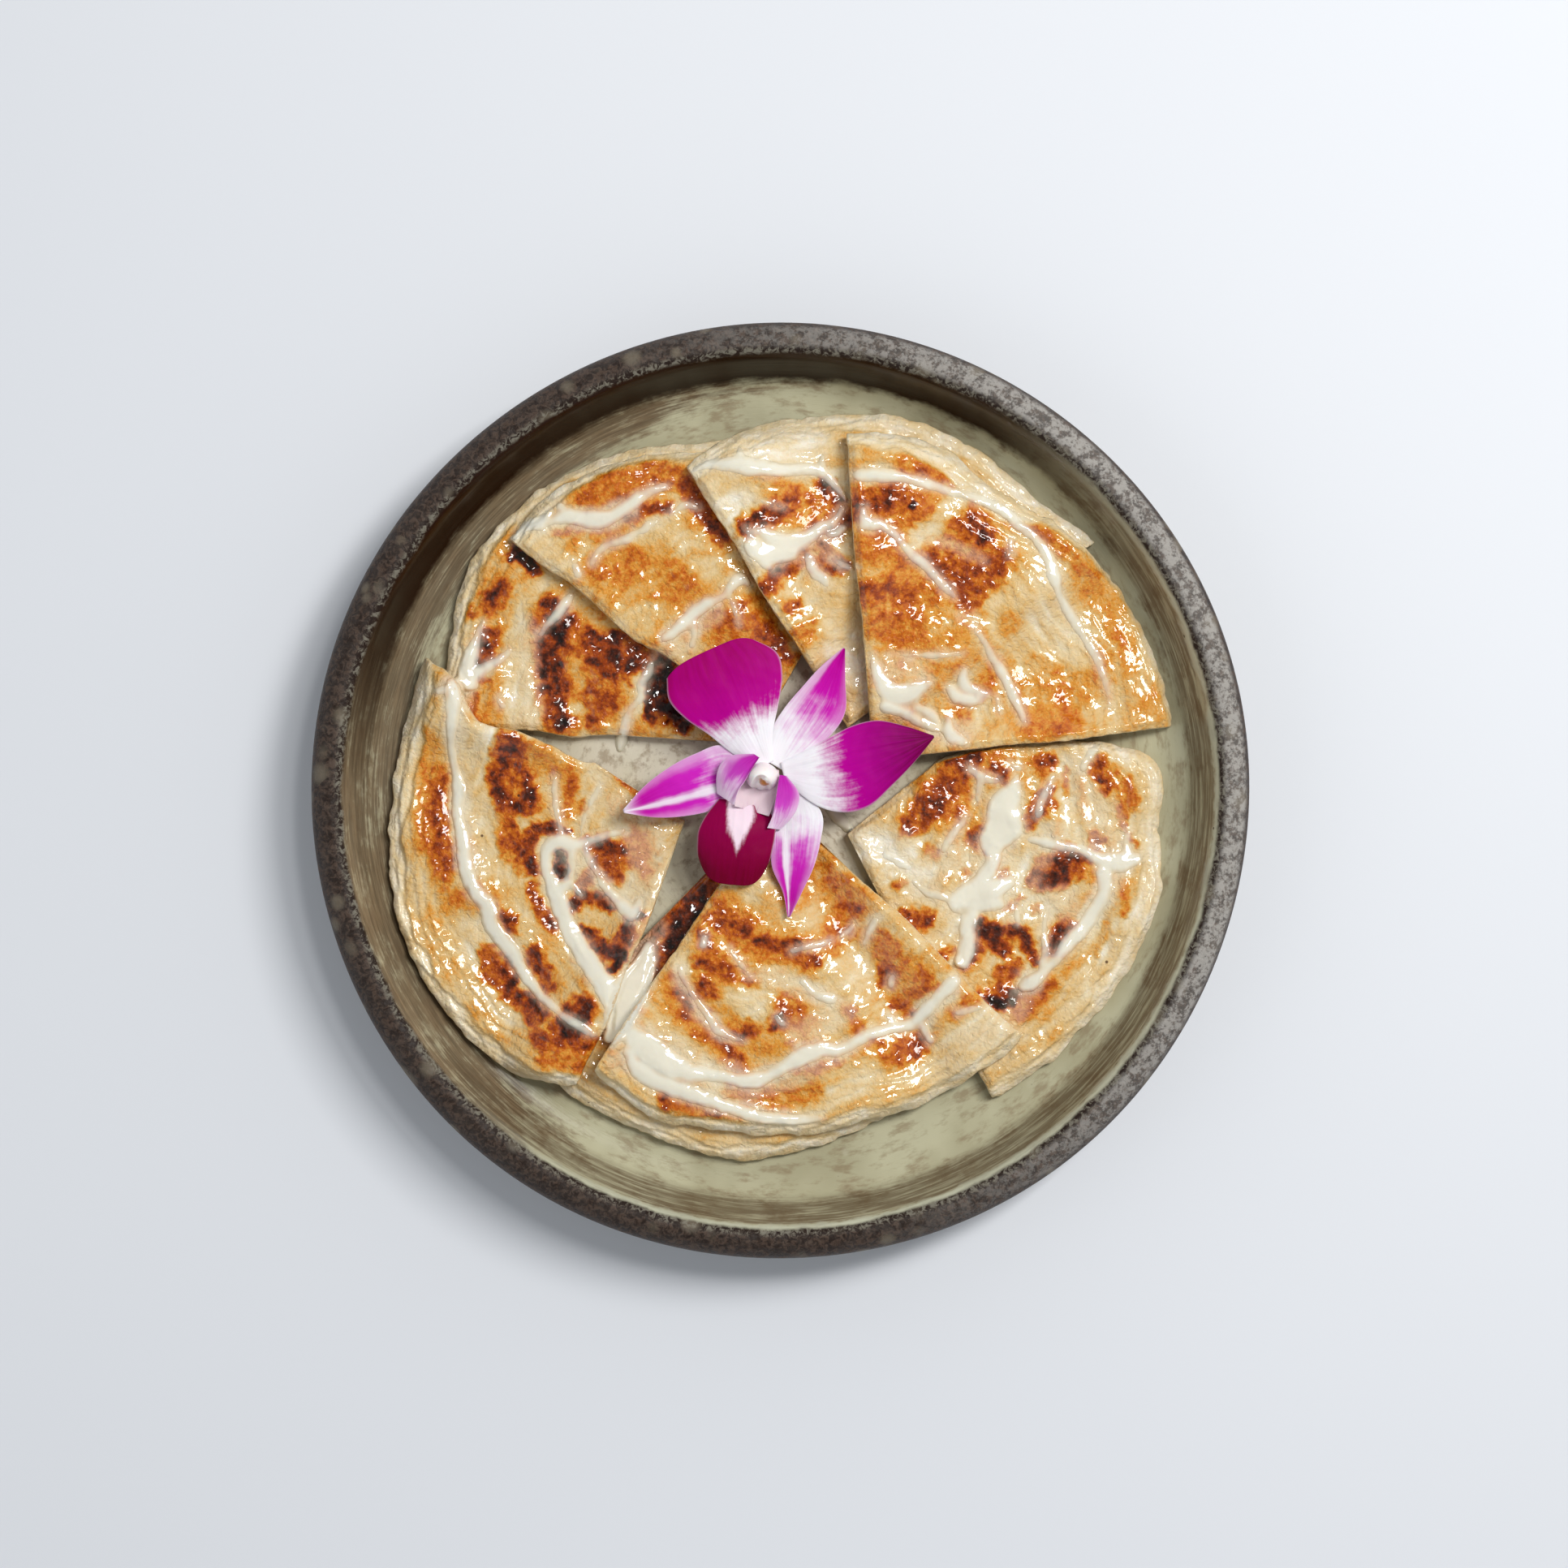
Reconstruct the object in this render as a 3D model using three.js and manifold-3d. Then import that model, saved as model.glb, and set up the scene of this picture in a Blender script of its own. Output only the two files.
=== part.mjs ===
// A stoneware plate of flaky pan-fried roti. Two flat rounds, each cut into quarters, are fanned round the
// plate so that every quarter laps over its neighbour. Thick sweet milk is fused onto the quarters, and one
// orchid lies face up on the middle. Millimetres, +Z up, origin under the centre of the plate's foot.

import * as THREE from "three";
import { mergeVertices } from "three/addons/utils/BufferGeometryUtils.js";
import Module from "manifold-3d";

const wasm = await Module();
wasm.setup();

// ---- Driving dimensions ----

const PLATE_RADIUS = 115;
const PLATE_HEIGHT = 26;
const FLOOR_LEVEL = 7;
const FOOT_RADIUS = 74; // outside of the foot ring
const FOOT_WIDTH = 10;
const FOOT_DEPTH = 2; // how far the foot ring stands below the plate's underside
const PLATE_SIDES = 64;

const LAYER_GAP = 0.35; // between one piece and the piece that it lies on
const DRAPE_REACH = 4; // how far from a step a quarter starts to bend over it
const RIM_SHARE = 0.42; // thickness left at the torn outer rim, as a share of the full thickness
const RIM_FLAKE = 3.2; // width of the thin flaky rim
const CUT_SHARE = 0.78; // thickness left at a cut edge
const CUT_ROUND = 1.8; // width of the rounding along a cut edge
const EDGE_OVERLAP = 0.5; // how far past its outline a quarter still counts as lying under the next
const QUARTER_RINGS = 12;
const QUARTER_COLUMNS = 16;

const SLIVER = 0.01; // joining parts leaves nothing finer than this

const MILK_HEIGHT = 0.9; // crest of a milk stripe above the bread
const MILK_ROOT = 1.4; // how deep a stripe is rooted in the bread
const MILK_STEP = 6.5; // between the cross-sections of a stripe
const MILK_CREST = 0.6; // width of a stripe's flat crest, as a share of its whole width
const MILK_END = 0.55; // width of a stripe at its two ends, as a share of its width there

const PETAL_THICKNESS = 1;
const PETAL_REST = 0.4; // between a petal and the bread under it
const PETAL_REACH = 3; // how far from a step in the bread a petal starts to rise over it
const FLOWER_LEVEL = 17.5; // underside of the sepals at the flower's centre
const COLUMN_AT = [-4.4, 3.4];
const COLUMN_RADIUS = 3.8;
const COLUMN_HEIGHT = 10.4; // crest of the column above the sepals' underside

// Inside of the plate, from its centre to the crest of its rim: [radius, height].
const PLATE_INSIDE = [
  [0, FLOOR_LEVEL],
  [90, FLOOR_LEVEL],
  [97, 7.6],
  [101, 9.5],
  [103, 13],
  [104.5, 18],
  [106, 23.4],
  [107.5, 25.3],
  [109.5, PLATE_HEIGHT],
];
// Outside of the plate, from the crest down to the foot ring.
const PLATE_OUTSIDE = [
  [112, 25.2],
  [114.3, 22.8],
  [PLATE_RADIUS, 19.5],
  [112, 14.5],
  [104, 9],
  [88, 4],
  [FOOT_RADIUS + 2, FOOT_DEPTH],
  [FOOT_RADIUS, 0],
  [FOOT_RADIUS - FOOT_WIDTH, 0],
  [FOOT_RADIUS - FOOT_WIDTH - FOOT_DEPTH, FOOT_DEPTH],
  [0, FOOT_DEPTH],
];

// The quarters in the order they were laid. Each fans from its point between two cut edges, given as degrees
// anticlockwise from +X. `rim` holds its radius at even steps between them. `fromEdge` and `toEdge` say how
// far each cut edge swells outwards at even steps from the point to the rim.
const STRAIGHT = [0, 0];
const QUARTERS = [
  {
    name: "roti_south_under",
    point: [-12.3, -14.1],
    from: 226,
    to: 307,
    rim: [70, 73, 73.5, 76.5, 76.8, 76.5, 75.5],
    fromEdge: STRAIGHT,
    toEdge: STRAIGHT,
    thickness: 4.6,
    colour: 0x9a6a35,
  },
  {
    name: "roti_east",
    point: [16.5, -10.7],
    from: -61,
    to: 38.5,
    rim: [74.5, 75, 75.8, 77.5, 78.6, 77, 77.5, 52, 29.5],
    fromEdge: [0, 0.8, 0.6, 0, 0],
    toEdge: STRAIGHT,
    thickness: 5,
    colour: 0xd8b27a,
  },
  {
    name: "roti_west",
    point: [-12.3, 11.9],
    from: 85,
    to: 175.8,
    rim: [73.7, 75, 77, 78.4, 78, 73.5, 72.5],
    fromEdge: STRAIGHT,
    toEdge: [0, 0, 0.6, 0, 1.2, 0.4, 1, 0, 0],
    thickness: 4.8,
    colour: 0x6b3d1c,
  },
  {
    name: "roti_north_west",
    point: [-4.4, 16.7],
    from: 60,
    to: 143.8,
    rim: [69.5, 69, 68.5, 68, 72.5, 76, 76.9],
    fromEdge: STRAIGHT,
    toEdge: [0, 0.5, 1, 0.6, 2, 0.8, 0, 0.6, 0],
    thickness: 4.8,
    colour: 0xdca45c,
  },
  {
    name: "roti_south_west",
    point: [-23.8, -7.5],
    from: -112.6,
    to: -209.6,
    rim: [70, 75.3, 75.4, 75, 74.5, 73, 72.2, 72.5, 75.4],
    fromEdge: [0, 0.6, 1.4, 0.8, 1.6, 0.8, 0],
    toEdge: [0, 1, 7, 0.6, 0, -1.2, -3.6, 2.4, 3.4],
    thickness: 4.8,
    colour: 0xcf9f5f,
  },
  {
    name: "roti_north",
    point: [16.7, 15.7],
    from: 37,
    to: 121.7,
    rim: [76, 73, 75.5, 77.6, 77, 77.3, 74.8],
    fromEdge: STRAIGHT,
    toEdge: [0, 0.4, 0.2, 0.6, 0, 0.3, 0],
    thickness: 5,
    colour: 0xe2c48c,
  },
  {
    name: "roti_south",
    point: [-0.7, -2.3],
    from: -124,
    to: -44.2,
    rim: [80, 83.2, 82.8, 82, 82.3, 81.8, 82.8, 83.2, 83.5],
    fromEdge: [0, 0.3, 0, 0.5, 0],
    toEdge: [0, 0.4, 0, 0.8, 0.6, 0, 0.5],
    thickness: 5.2,
    colour: 0xd9aa63,
  },
  {
    name: "roti_north_east",
    point: [22.8, 7.7],
    from: 6.5,
    to: 94.6,
    rim: [74.3, 73.8, 73.8, 73.2, 72.9, 78.8, 79.8],
    fromEdge: [0, 0.5, 0, 0.6, 0.2, 0],
    toEdge: [0, 0.4, -0.2, 0.5, 0.3, 0],
    thickness: 5.2,
    colour: 0xdc9a4c,
  },
];

// Milk stripes by the quarter that carries them: stations of [x, y, width], smoothed into one ribbon.
const MILK = {
  roti_north_east: [
    [
      [19, 77, 3.2], [30, 76.3, 2.8], [45, 72.6, 2.4], [56, 67.6, 2.8], [65.6, 57.6, 3], [68, 50, 3],
      [74, 39.6, 2.4], [80.4, 26, 1.8],
    ],
    [[20.8, 66, 3.4], [32, 57.8, 2.6], [42, 48.4, 2.2]],
    [[23.4, 30.5, 3], [27.4, 24, 5.6], [34.4, 25.4, 3.6]],
    [[45.3, 29, 2], [46, 25, 3], [50.4, 23.8, 2]],
    [[50.6, 36, 1.8], [55.6, 27.6, 2.6], [59.4, 19, 2.2]],
    [[41.6, 17, 2.4], [42.6, 13, 3.2], [45.6, 12.4, 2.2]],
  ],
  roti_north: [
    [[-19.6, 79, 2.6], [-12, 79.6, 3.8], [-3, 78.6, 3.8], [8, 78.8, 3.4], [14, 74.4, 2]],
    [[-7.4, 62.4, 2.6], [-2, 59.6, 8], [4.6, 61, 4.8], [10, 64.8, 2.6]],
    [[7.4, 55.6, 2.6], [10.6, 52.2, 2.6]],
  ],
  roti_north_west: [
    [[-62.6, 64, 2.2], [-58, 66.4, 3]],
    [[-54, 67, 2.6], [-46.6, 66.4, 4.6], [-37.6, 69.6, 3.8], [-28.6, 74.6, 1.8]],
    [[-46, 56.6, 1.8], [-41, 60.8, 2.2], [-25, 69, 1.8]],
    [[-27.4, 38.2, 2.6], [-20, 44.6, 3.6], [-13, 48.6, 2.2], [-10, 51.8, 3]],
  ],
  roti_west: [
    [[-52, 48, 1.8], [-55, 43.6, 2.4], [-59, 38.8, 1.8]],
    [[-31.8, 31, 1.6], [-34.4, 26.4, 2.6], [-37.8, 18, 2.4]],
    [[-74, 40, 1.8], [-76.4, 33, 4], [-76.6, 29.4, 4]],
  ],
  roti_south_west: [
    [
      [-81.2, 12, 1.8], [-79.6, 0, 3.6], [-78.4, -10, 3.2], [-77.4, -18, 3.6], [-72, -29.6, 4],
      [-65.8, -40.6, 3.8], [-60, -50, 2.6], [-54.6, -54, 2], [-47.4, -58.6, 2],
    ],
    [
      [-40, -10.2, 1.8], [-51, -13.2, 3.6], [-57.6, -16.6, 3.6], [-54.6, -27.6, 4.4], [-49.4, -39, 4.6],
      [-44, -46, 4.6],
    ],
    [[-55.4, 2, 1.8], [-54.6, -8, 1.8]],
    [[-48, -15.4, 1.8], [-43, -24, 2.4], [-37.4, -30, 3.6]],
  ],
  roti_south: [
    [[-34.6, -58, 3.4], [-31.4, -62.6, 6.4], [-26, -67, 5]],
    [[-34.6, -69, 3.4], [-26, -72.8, 4.4], [-14, -77.2, 3.2], [-1, -80.6, 3], [8, -80.8, 2]],
    [
      [-21, -68.6, 3.6], [-11, -70.6, 3.2], [-3, -69.8, 3.6], [6, -65, 4.4], [14.6, -63.4, 3.2],
      [22, -59.8, 3], [33, -57, 3], [41.4, -47.4, 3],
    ],
    [[-24.4, -44, 1.8], [-18.4, -54.6, 2.2], [-12, -60.6, 1.8]],
    [[3.4, -39.4, 1.8], [11.6, -37, 1.8]],
    [[23, -32, 1.8], [20.8, -37.6, 1.8]],
    [[6, -47, 1.8], [12.4, -51, 2.8]],
  ],
  roti_east: [
    [[57.4, 1, 3.6], [55, -4.6, 7], [53.6, -11, 7], [52.2, -14.6, 3]],
    [[55.6, -22.8, 3], [48, -25.6, 7], [43.6, -27.6, 4.6]],
    [[46.6, -31.6, 4], [46.4, -37, 4.4], [45.6, -40.4, 3.4]],
    [[63, -12.2, 2.4], [75, -14.8, 2.8], [83, -17.4, 4.6], [87.4, -16.8, 3]],
    [[80, -20.6, 3.6], [79.6, -26, 3.4], [75, -33, 3.8], [68, -41.4, 3], [61.6, -47.4, 4]],
    [[67, 2.6, 1.8], [63.6, -5.4, 2]],
  ],
};

// The flower's blades, each from its root to its tip, as the flower lies. `left` and `right` are the half
// widths on each side of the midrib, seen from the root, at even steps from root to tip. `rise` is the
// height above the sepals' underside at the same kind of steps. `cup` lifts the two edges, `lean` lifts the
// left one and lowers the right one, and `bow` draws the corners of a broad tip back.
const BLADES = [
  {
    name: "dorsal sepal",
    root: [-1, 6],
    tip: [15.6, 34.9],
    left: [2, 5.4, 5.4, 4.2, 2.7, 0.3],
    right: [2, 5.3, 7.8, 8, 4.2, 0.3],
    rise: [0, 0.5, 1],
    cup: 0.8,
  },
  {
    name: "left sepal",
    root: [-5, 4.5],
    tip: [-38.4, -5],
    left: [2, 4.6, 5.7, 5.2, 3.5, 0.4],
    right: [3, 8.9, 8.8, 7.4, 4.7, 0.4],
    rise: [0, 0.5, 1],
    cup: 0.8,
  },
  {
    name: "right sepal",
    root: [1.5, 0],
    tip: [2.1, -30.9],
    left: [5, 8.7, 8.1, 6.4, 3.4, 0.3],
    right: [3, 4, 4, 3.9, 1.4, 0.3],
    rise: [0, 0.5, 0.5],
    cup: 0.8,
  },
  {
    name: "left petal",
    root: [-3.5, 6.5],
    tip: [-16.3, 35],
    left: [2.5, 6.7, 9.8, 13.4, 15.2, 13.6],
    right: [2, 4.6, 8.9, 12.6, 13.6, 9.8],
    rise: [1.4, 2.6, 3.2, 2.6],
    cup: -0.6,
    bow: 0.07,
  },
  {
    name: "right petal",
    root: [0.5, 5],
    tip: [37.6, 13.3],
    left: [2, 3.6, 5.3, 6.9, 6.9, 4.1, 0.3],
    right: [3, 10.2, 13.3, 13.1, 9.5, 5.3, 0.3],
    rise: [1.4, 2.4, 2.6, 1.6],
    cup: -0.6,
  },
  {
    name: "lip",
    root: [-9.5, -2.4],
    tip: [-11.3, -23],
    left: [5, 8.6, 8.9, 8.6, 8.3, 8],
    right: [5.5, 8.2, 9.8, 9.9, 9.7, 9.4],
    rise: [2.6, 5, 5.4, 4.6, 2.6],
    cup: -1.6,
    bow: 0.3,
  },
  {
    name: "throat",
    root: [-3.6, 6],
    tip: [-6.8, -5],
    left: [3.4, 4.4, 4.6, 4.2],
    right: [3.4, 4.6, 5, 4.6],
    rise: [1.6, 1.8, 3.2],
    cup: 1.6,
  },
  {
    name: "left side lobe",
    root: [-12.5, -2.6],
    tip: [-5.3, 8.3],
    left: [3.6, 5.9, 6.8, 5.6, 1.5],
    right: [1.5, 0.5, 0.5, 0.3, 0.3],
    rise: [4, 6.4, 6.6, 5],
    cup: -0.6,
    lean: -2.2,
  },
  {
    name: "right side lobe",
    root: [-2, -9.2],
    tip: [0.1, 3.9],
    left: [1.2, 0.4, 0.3, 0.3, 0.3],
    right: [2, 4.3, 5.4, 4.9, 1.5],
    rise: [4, 6.2, 6.4, 5],
    cup: -0.6,
    lean: 2.2,
  },
];

// ---- Small helpers ----

const radians = THREE.MathUtils.degToRad;
const mix = THREE.MathUtils.lerp;

/** Smooth curve through evenly spaced values, read at a share of its length from 0 to 1. */
function along(values, share) {
  const place = THREE.MathUtils.clamp(share, 0, 1) * (values.length - 1);
  const step = Math.min(Math.floor(place), values.length - 2);
  const t = place - step;
  const [b, c] = [values[step], values[step + 1]];
  const a = values[step - 1] ?? 2 * b - c;
  const d = values[step + 2] ?? 2 * c - b;
  return b + 0.5 * t * (c - a + t * (2 * a - 5 * b + 4 * c - d + t * (3 * (b - c) + d - a)));
}

/** Height of a profile given as [radius, height] stations. */
function profileHeight(profile, radius) {
  const next = profile.findIndex(([r]) => r >= radius);
  if (next === 0) return profile[0][1];
  if (next < 0) return profile.at(-1)[1];
  const [[r0, z0], [r1, z1]] = [profile[next - 1], profile[next]];
  return mix(z0, z1, (radius - r0) / (r1 - r0));
}

/** Heights over the plate on a square grid, read between its points. */
class HeightMap {
  static CELL = 1;
  static HALF = PLATE_RADIUS;
  static SIDE = (2 * HeightMap.HALF) / HeightMap.CELL + 1;

  constructor(heights = new Float32Array(HeightMap.SIDE ** 2).fill(FLOOR_LEVEL)) {
    this.heights = heights;
  }

  /** Height at a point, by the four grid points round it. */
  at(x, y) {
    const { CELL, HALF, SIDE } = HeightMap;
    const u = THREE.MathUtils.clamp((x + HALF) / CELL, 0, SIDE - 1.001);
    const v = THREE.MathUtils.clamp((y + HALF) / CELL, 0, SIDE - 1.001);
    const [i, j] = [Math.floor(u), Math.floor(v)];
    const k = j * SIDE + i;
    const low = mix(this.heights[k], this.heights[k + 1], u - i);
    const high = mix(this.heights[k + SIDE], this.heights[k + SIDE + 1], u - i);
    return mix(low, high, v - j);
  }

  /** This map with every height raised to `height(x, y)` where that is more. */
  raisedTo(height) {
    const { CELL, HALF, SIDE } = HeightMap;
    const raised = this.heights.slice();
    for (let j = 0; j < SIDE; j++)
      for (let i = 0; i < SIDE; i++) {
        const k = j * SIDE + i;
        raised[k] = Math.max(raised[k], height(i * CELL - HALF, j * CELL - HALF));
      }
    return new HeightMap(raised);
  }

  /** The blanket that a limp sheet makes over this map: the highest point near by, then smoothed. */
  draped(reach) {
    return this.#passed(reach, Math.max, -Infinity).#smoothed(reach / 2).#smoothed(reach / 2);
  }

  #smoothed(reach) {
    const count = 2 * Math.round(reach / HeightMap.CELL) + 1;
    const sum = this.#passed(reach, (a, b) => a + b, 0);
    return new HeightMap(sum.heights.map((h) => h / count ** 2));
  }

  /** Folds each row and then each column over a window of `reach` on each side. */
  #passed(reach, fold, start) {
    const { CELL, SIDE } = HeightMap;
    const window = Math.round(reach / CELL);
    let from = this.heights;
    for (const stride of [1, SIDE]) {
      const to = new Float32Array(from.length);
      const line = stride === 1 ? SIDE : 1;
      for (let row = 0; row < SIDE; row++)
        for (let i = 0; i < SIDE; i++) {
          let value = start;
          for (let d = -window; d <= window; d++) {
            const k = THREE.MathUtils.clamp(i + d, 0, SIDE - 1);
            value = fold(value, from[row * line + k * stride]);
          }
          to[row * line + i * stride] = value;
        }
      from = to;
    }
    return new HeightMap(from);
  }
}

/** A closed solid from a list of corners and a list of triangles. */
function solid(corners, triangles) {
  const geometry = new THREE.BufferGeometry();
  geometry.setAttribute("position", new THREE.Float32BufferAttribute(corners.flat(), 3));
  geometry.setIndex(triangles.flat());
  return solidOf(geometry);
}

function solidOf(geometry) {
  geometry.deleteAttribute("normal");
  geometry.deleteAttribute("uv");
  const merged = mergeVertices(geometry, 1e-4);
  const kept = [];
  const index = merged.index.array;
  for (let i = 0; i < index.length; i += 3) {
    const [a, b, c] = index.slice(i, i + 3);
    if (a !== b && b !== c && c !== a) kept.push(a, b, c);
  }
  return new wasm.Manifold(
    new wasm.Mesh({
      numProp: 3,
      vertProperties: new Float32Array(merged.attributes.position.array),
      triVerts: new Uint32Array(kept),
    }),
  );
}

/** Parts joined into one body: a hollow that the joining seals is filled, and a loose scrap dropped. */
function fused(parts) {
  const joined = parts.reduce((whole, part) => whole.add(part)).simplify(SLIVER);
  return joined.decompose().reduce((largest, body) => (body.volume() > largest.volume() ? body : largest));
}

/** A named mesh of a solid, with its finish. */
function meshOf(name, made, colour, roughness) {
  const { vertProperties, triVerts, numProp } = made.getMesh();
  const corners = new Float32Array((vertProperties.length / numProp) * 3);
  for (let i = 0; i * 3 < corners.length; i++)
    corners.set(vertProperties.subarray(i * numProp, i * numProp + 3), i * 3);
  const geometry = new THREE.BufferGeometry();
  geometry.setAttribute("position", new THREE.BufferAttribute(corners, 3));
  geometry.setIndex(new THREE.BufferAttribute(triVerts, 1));
  geometry.computeVertexNormals();
  const finish = new THREE.MeshStandardMaterial({ color: colour, roughness, metalness: 0 });
  const mesh = new THREE.Mesh(geometry, finish);
  mesh.name = name;
  return mesh;
}

/** A closed sheet over a grid of plan points: `above` and `below` give its two faces, split alike. */
function sheet(rows, columns, plan, above, below) {
  const corners = [];
  for (const face of [above, below])
    for (let i = 0; i < rows; i++)
      for (let j = 0; j < columns; j++) {
        const [x, y] = plan(i, j);
        corners.push([x, y, face(x, y, i, j)]);
      }
  const under = rows * columns;
  const top = (i, j) => i * columns + j;
  const bottom = (i, j) => under + top(i, j);
  const triangles = [];
  const quad = (a, b, c, d) => triangles.push([a, b, c], [a, c, d]);
  for (let i = 0; i + 1 < rows; i++)
    for (let j = 0; j + 1 < columns; j++) {
      quad(top(i, j), top(i + 1, j), top(i + 1, j + 1), top(i, j + 1));
      triangles.push(
        [bottom(i, j), bottom(i + 1, j + 1), bottom(i + 1, j)],
        [bottom(i, j), bottom(i, j + 1), bottom(i + 1, j + 1)],
      );
    }
  for (let i = 0; i + 1 < rows; i++) {
    const last = columns - 1;
    quad(top(i, 0), bottom(i, 0), bottom(i + 1, 0), top(i + 1, 0));
    quad(top(i + 1, last), bottom(i + 1, last), bottom(i, last), top(i, last));
  }
  for (let j = 0; j + 1 < columns; j++) {
    const last = rows - 1;
    quad(top(0, j + 1), bottom(0, j + 1), bottom(0, j), top(0, j));
    quad(top(last, j), bottom(last, j), bottom(last, j + 1), top(last, j + 1));
  }
  return solid(corners, triangles);
}

// ---- Plate ----

function plate() {
  const profile = [...PLATE_INSIDE, ...PLATE_OUTSIDE].reverse();
  const turned = new THREE.LatheGeometry(
    profile.map(([radius, height]) => new THREE.Vector2(radius, height)),
    PLATE_SIDES,
  ).rotateX(Math.PI / 2);
  return meshOf("plate", solidOf(turned), 0xa9a88c, 0.3);
}

// ---- Roti quarters ----

/** The outline of a quarter, as its cut edges' angles and its rim's radius. */
function outlineOf({ from, to, rim, fromEdge, toEdge }) {
  const turn = Math.sign(to - from);
  const reach = Math.max(...rim);
  const swing = (edge, radius) => Math.asin(Math.min(0.9, along(edge, radius / reach) / Math.max(radius, 1)));
  return {
    fromAngle: (radius) => radians(from) - turn * swing(fromEdge, radius),
    toAngle: (radius) => radians(to) + turn * swing(toEdge, radius),
    rimRadius: (share) => along(rim, share),
  };
}

/** How far a point lies inside a quarter's rim and inside its nearer cut edge. */
function insetOf({ point: [px, py], from, to }, outline, x, y) {
  const radius = Math.hypot(x - px, y - py);
  const middle = radians((from + to) / 2);
  const turned = Math.atan2(y - py, x - px) - middle;
  const angle = middle + Math.atan2(Math.sin(turned), Math.cos(turned));
  const [start, end] = [outline.fromAngle(radius), outline.toAngle(radius)];
  const turn = Math.sign(end - start);
  const reach = (swing) => radius * Math.sin(THREE.MathUtils.clamp(swing, -Math.PI / 2, Math.PI / 2));
  return {
    rim: outline.rimRadius((angle - start) / (end - start)) - radius,
    cut: Math.min(reach(turn * (angle - start)), reach(turn * (end - angle))),
  };
}

/** Gentle swells of the dough, which differ from quarter to quarter. */
function swell(x, y, seed) {
  return (
    0.42 * Math.sin(x / 7.3 + 1.7 * seed) * Math.cos(y / 6.1 - seed) +
    0.3 * Math.sin((x + y) / 4.9 + 2.3 * seed)
  );
}

/** Thickness of a quarter: full inside, thin at the flaky rim, rounded along the cuts. */
function thicknessAt(quarter, seed, inset, x, y) {
  const ease = (inner, width) => THREE.MathUtils.smoothstep(inner, 0, width);
  const rim = mix(RIM_SHARE, 1, ease(inset.rim, RIM_FLAKE));
  const cut = mix(CUT_SHARE, 1, ease(inset.cut, CUT_ROUND));
  const full = Math.min(rim, cut);
  return full * (quarter.thickness + swell(x, y, seed));
}

/** One quarter laid over what is below it, with its milk, and the heights of its top. */
function layQuarter(quarter, seed, stack) {
  const outline = outlineOf(quarter);
  const blanket = stack.draped(DRAPE_REACH);
  const bed = (x, y) =>
    Math.max(blanket.at(x, y), profileHeight(PLATE_INSIDE, Math.hypot(x, y) + 1)) + LAYER_GAP;
  const crust = (x, y) => bed(x, y) + thicknessAt(quarter, seed, insetOf(quarter, outline, x, y), x, y);
  const [px, py] = quarter.point;

  const plan = (i, j) => {
    const share = j / (QUARTER_COLUMNS - 1);
    const rim = outline.rimRadius(share);
    const inner = ((rim - RIM_FLAKE) * i) / (QUARTER_RINGS - 2);
    const radius = i === QUARTER_RINGS - 1 ? rim : inner;
    const [start, end] = [outline.fromAngle(radius), outline.toAngle(radius)];
    const step = Math.min(CUT_ROUND / Math.max(radius, 1) / Math.abs(end - start), 1 / QUARTER_COLUMNS);
    const inside = (j - 1) / (QUARTER_COLUMNS - 3);
    const place = j === 0 ? 0 : j === QUARTER_COLUMNS - 1 ? 1 : mix(step, 1 - step, inside);
    const angle = mix(start, end, place);
    return [px + radius * Math.cos(angle), py + radius * Math.sin(angle)];
  };
  const turned = quarter.to < quarter.from;
  const ordered = turned ? (i, j) => plan(i, QUARTER_COLUMNS - 1 - j) : plan;
  const bread = sheet(QUARTER_RINGS, QUARTER_COLUMNS, ordered, crust, bed);
  const stripes = (MILK[quarter.name] ?? []).map((stations) => milkStripe(stations, crust));
  const made = fused([bread, ...stripes]);

  const covered = (x, y) => {
    const { rim, cut } = insetOf(quarter, outline, x, y);
    return Math.min(rim, cut) > -EDGE_OVERLAP ? crust(x, y) : 0;
  };
  return { mesh: meshOf(quarter.name, made, quarter.colour, 0.5), stack: stack.raisedTo(covered) };
}

/** A ribbon of milk along its stations, rooted in the surface that it lies on. */
function milkStripe(stations, surface) {
  const route = new THREE.CatmullRomCurve3(
    stations.map(([x, y, width]) => new THREE.Vector3(x, y, width)),
    false,
    "centripetal",
  );
  const steps = Math.max(2, Math.round(route.getLength() / MILK_STEP));
  const points = route.getSpacedPoints(steps);
  // Across the ribbon: share of its half width, and height above the bread.
  const section = [
    [1, -MILK_ROOT],
    [MILK_CREST, MILK_HEIGHT],
    [-MILK_CREST, MILK_HEIGHT],
    [-1, -MILK_ROOT],
  ];
  const corners = [];
  points.forEach(({ x, y, z: width }, i) => {
    const before = points[Math.max(0, i - 1)];
    const after = points[Math.min(steps, i + 1)];
    const run = Math.hypot(after.x - before.x, after.y - before.y);
    const [nx, ny] = [(before.y - after.y) / run, (after.x - before.x) / run];
    const half = (width / 2) * (i === 0 || i === steps ? MILK_END : 1);
    for (const [side, height] of section) {
      const [sx, sy] = [x + nx * half * side, y + ny * half * side];
      corners.push([sx, sy, surface(sx, sy) + height]);
    }
  });
  const sides = section.length;
  const end = steps * sides;
  const triangles = [
    [0, 2, 1],
    [0, 3, 2],
    [end, end + 1, end + 2],
    [end, end + 2, end + 3],
  ];
  for (let i = 0; i < steps; i++)
    for (let k = 0; k < sides; k++) {
      const [a, b] = [i * sides + k, i * sides + ((k + 1) % sides)];
      triangles.push([a, b + sides, a + sides], [a, b, b + sides]);
    }
  return solid(corners, triangles);
}

// ---- Orchid ----

const BLADE_ROWS = 9;
const BLADE_COLUMNS = 7;

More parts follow.
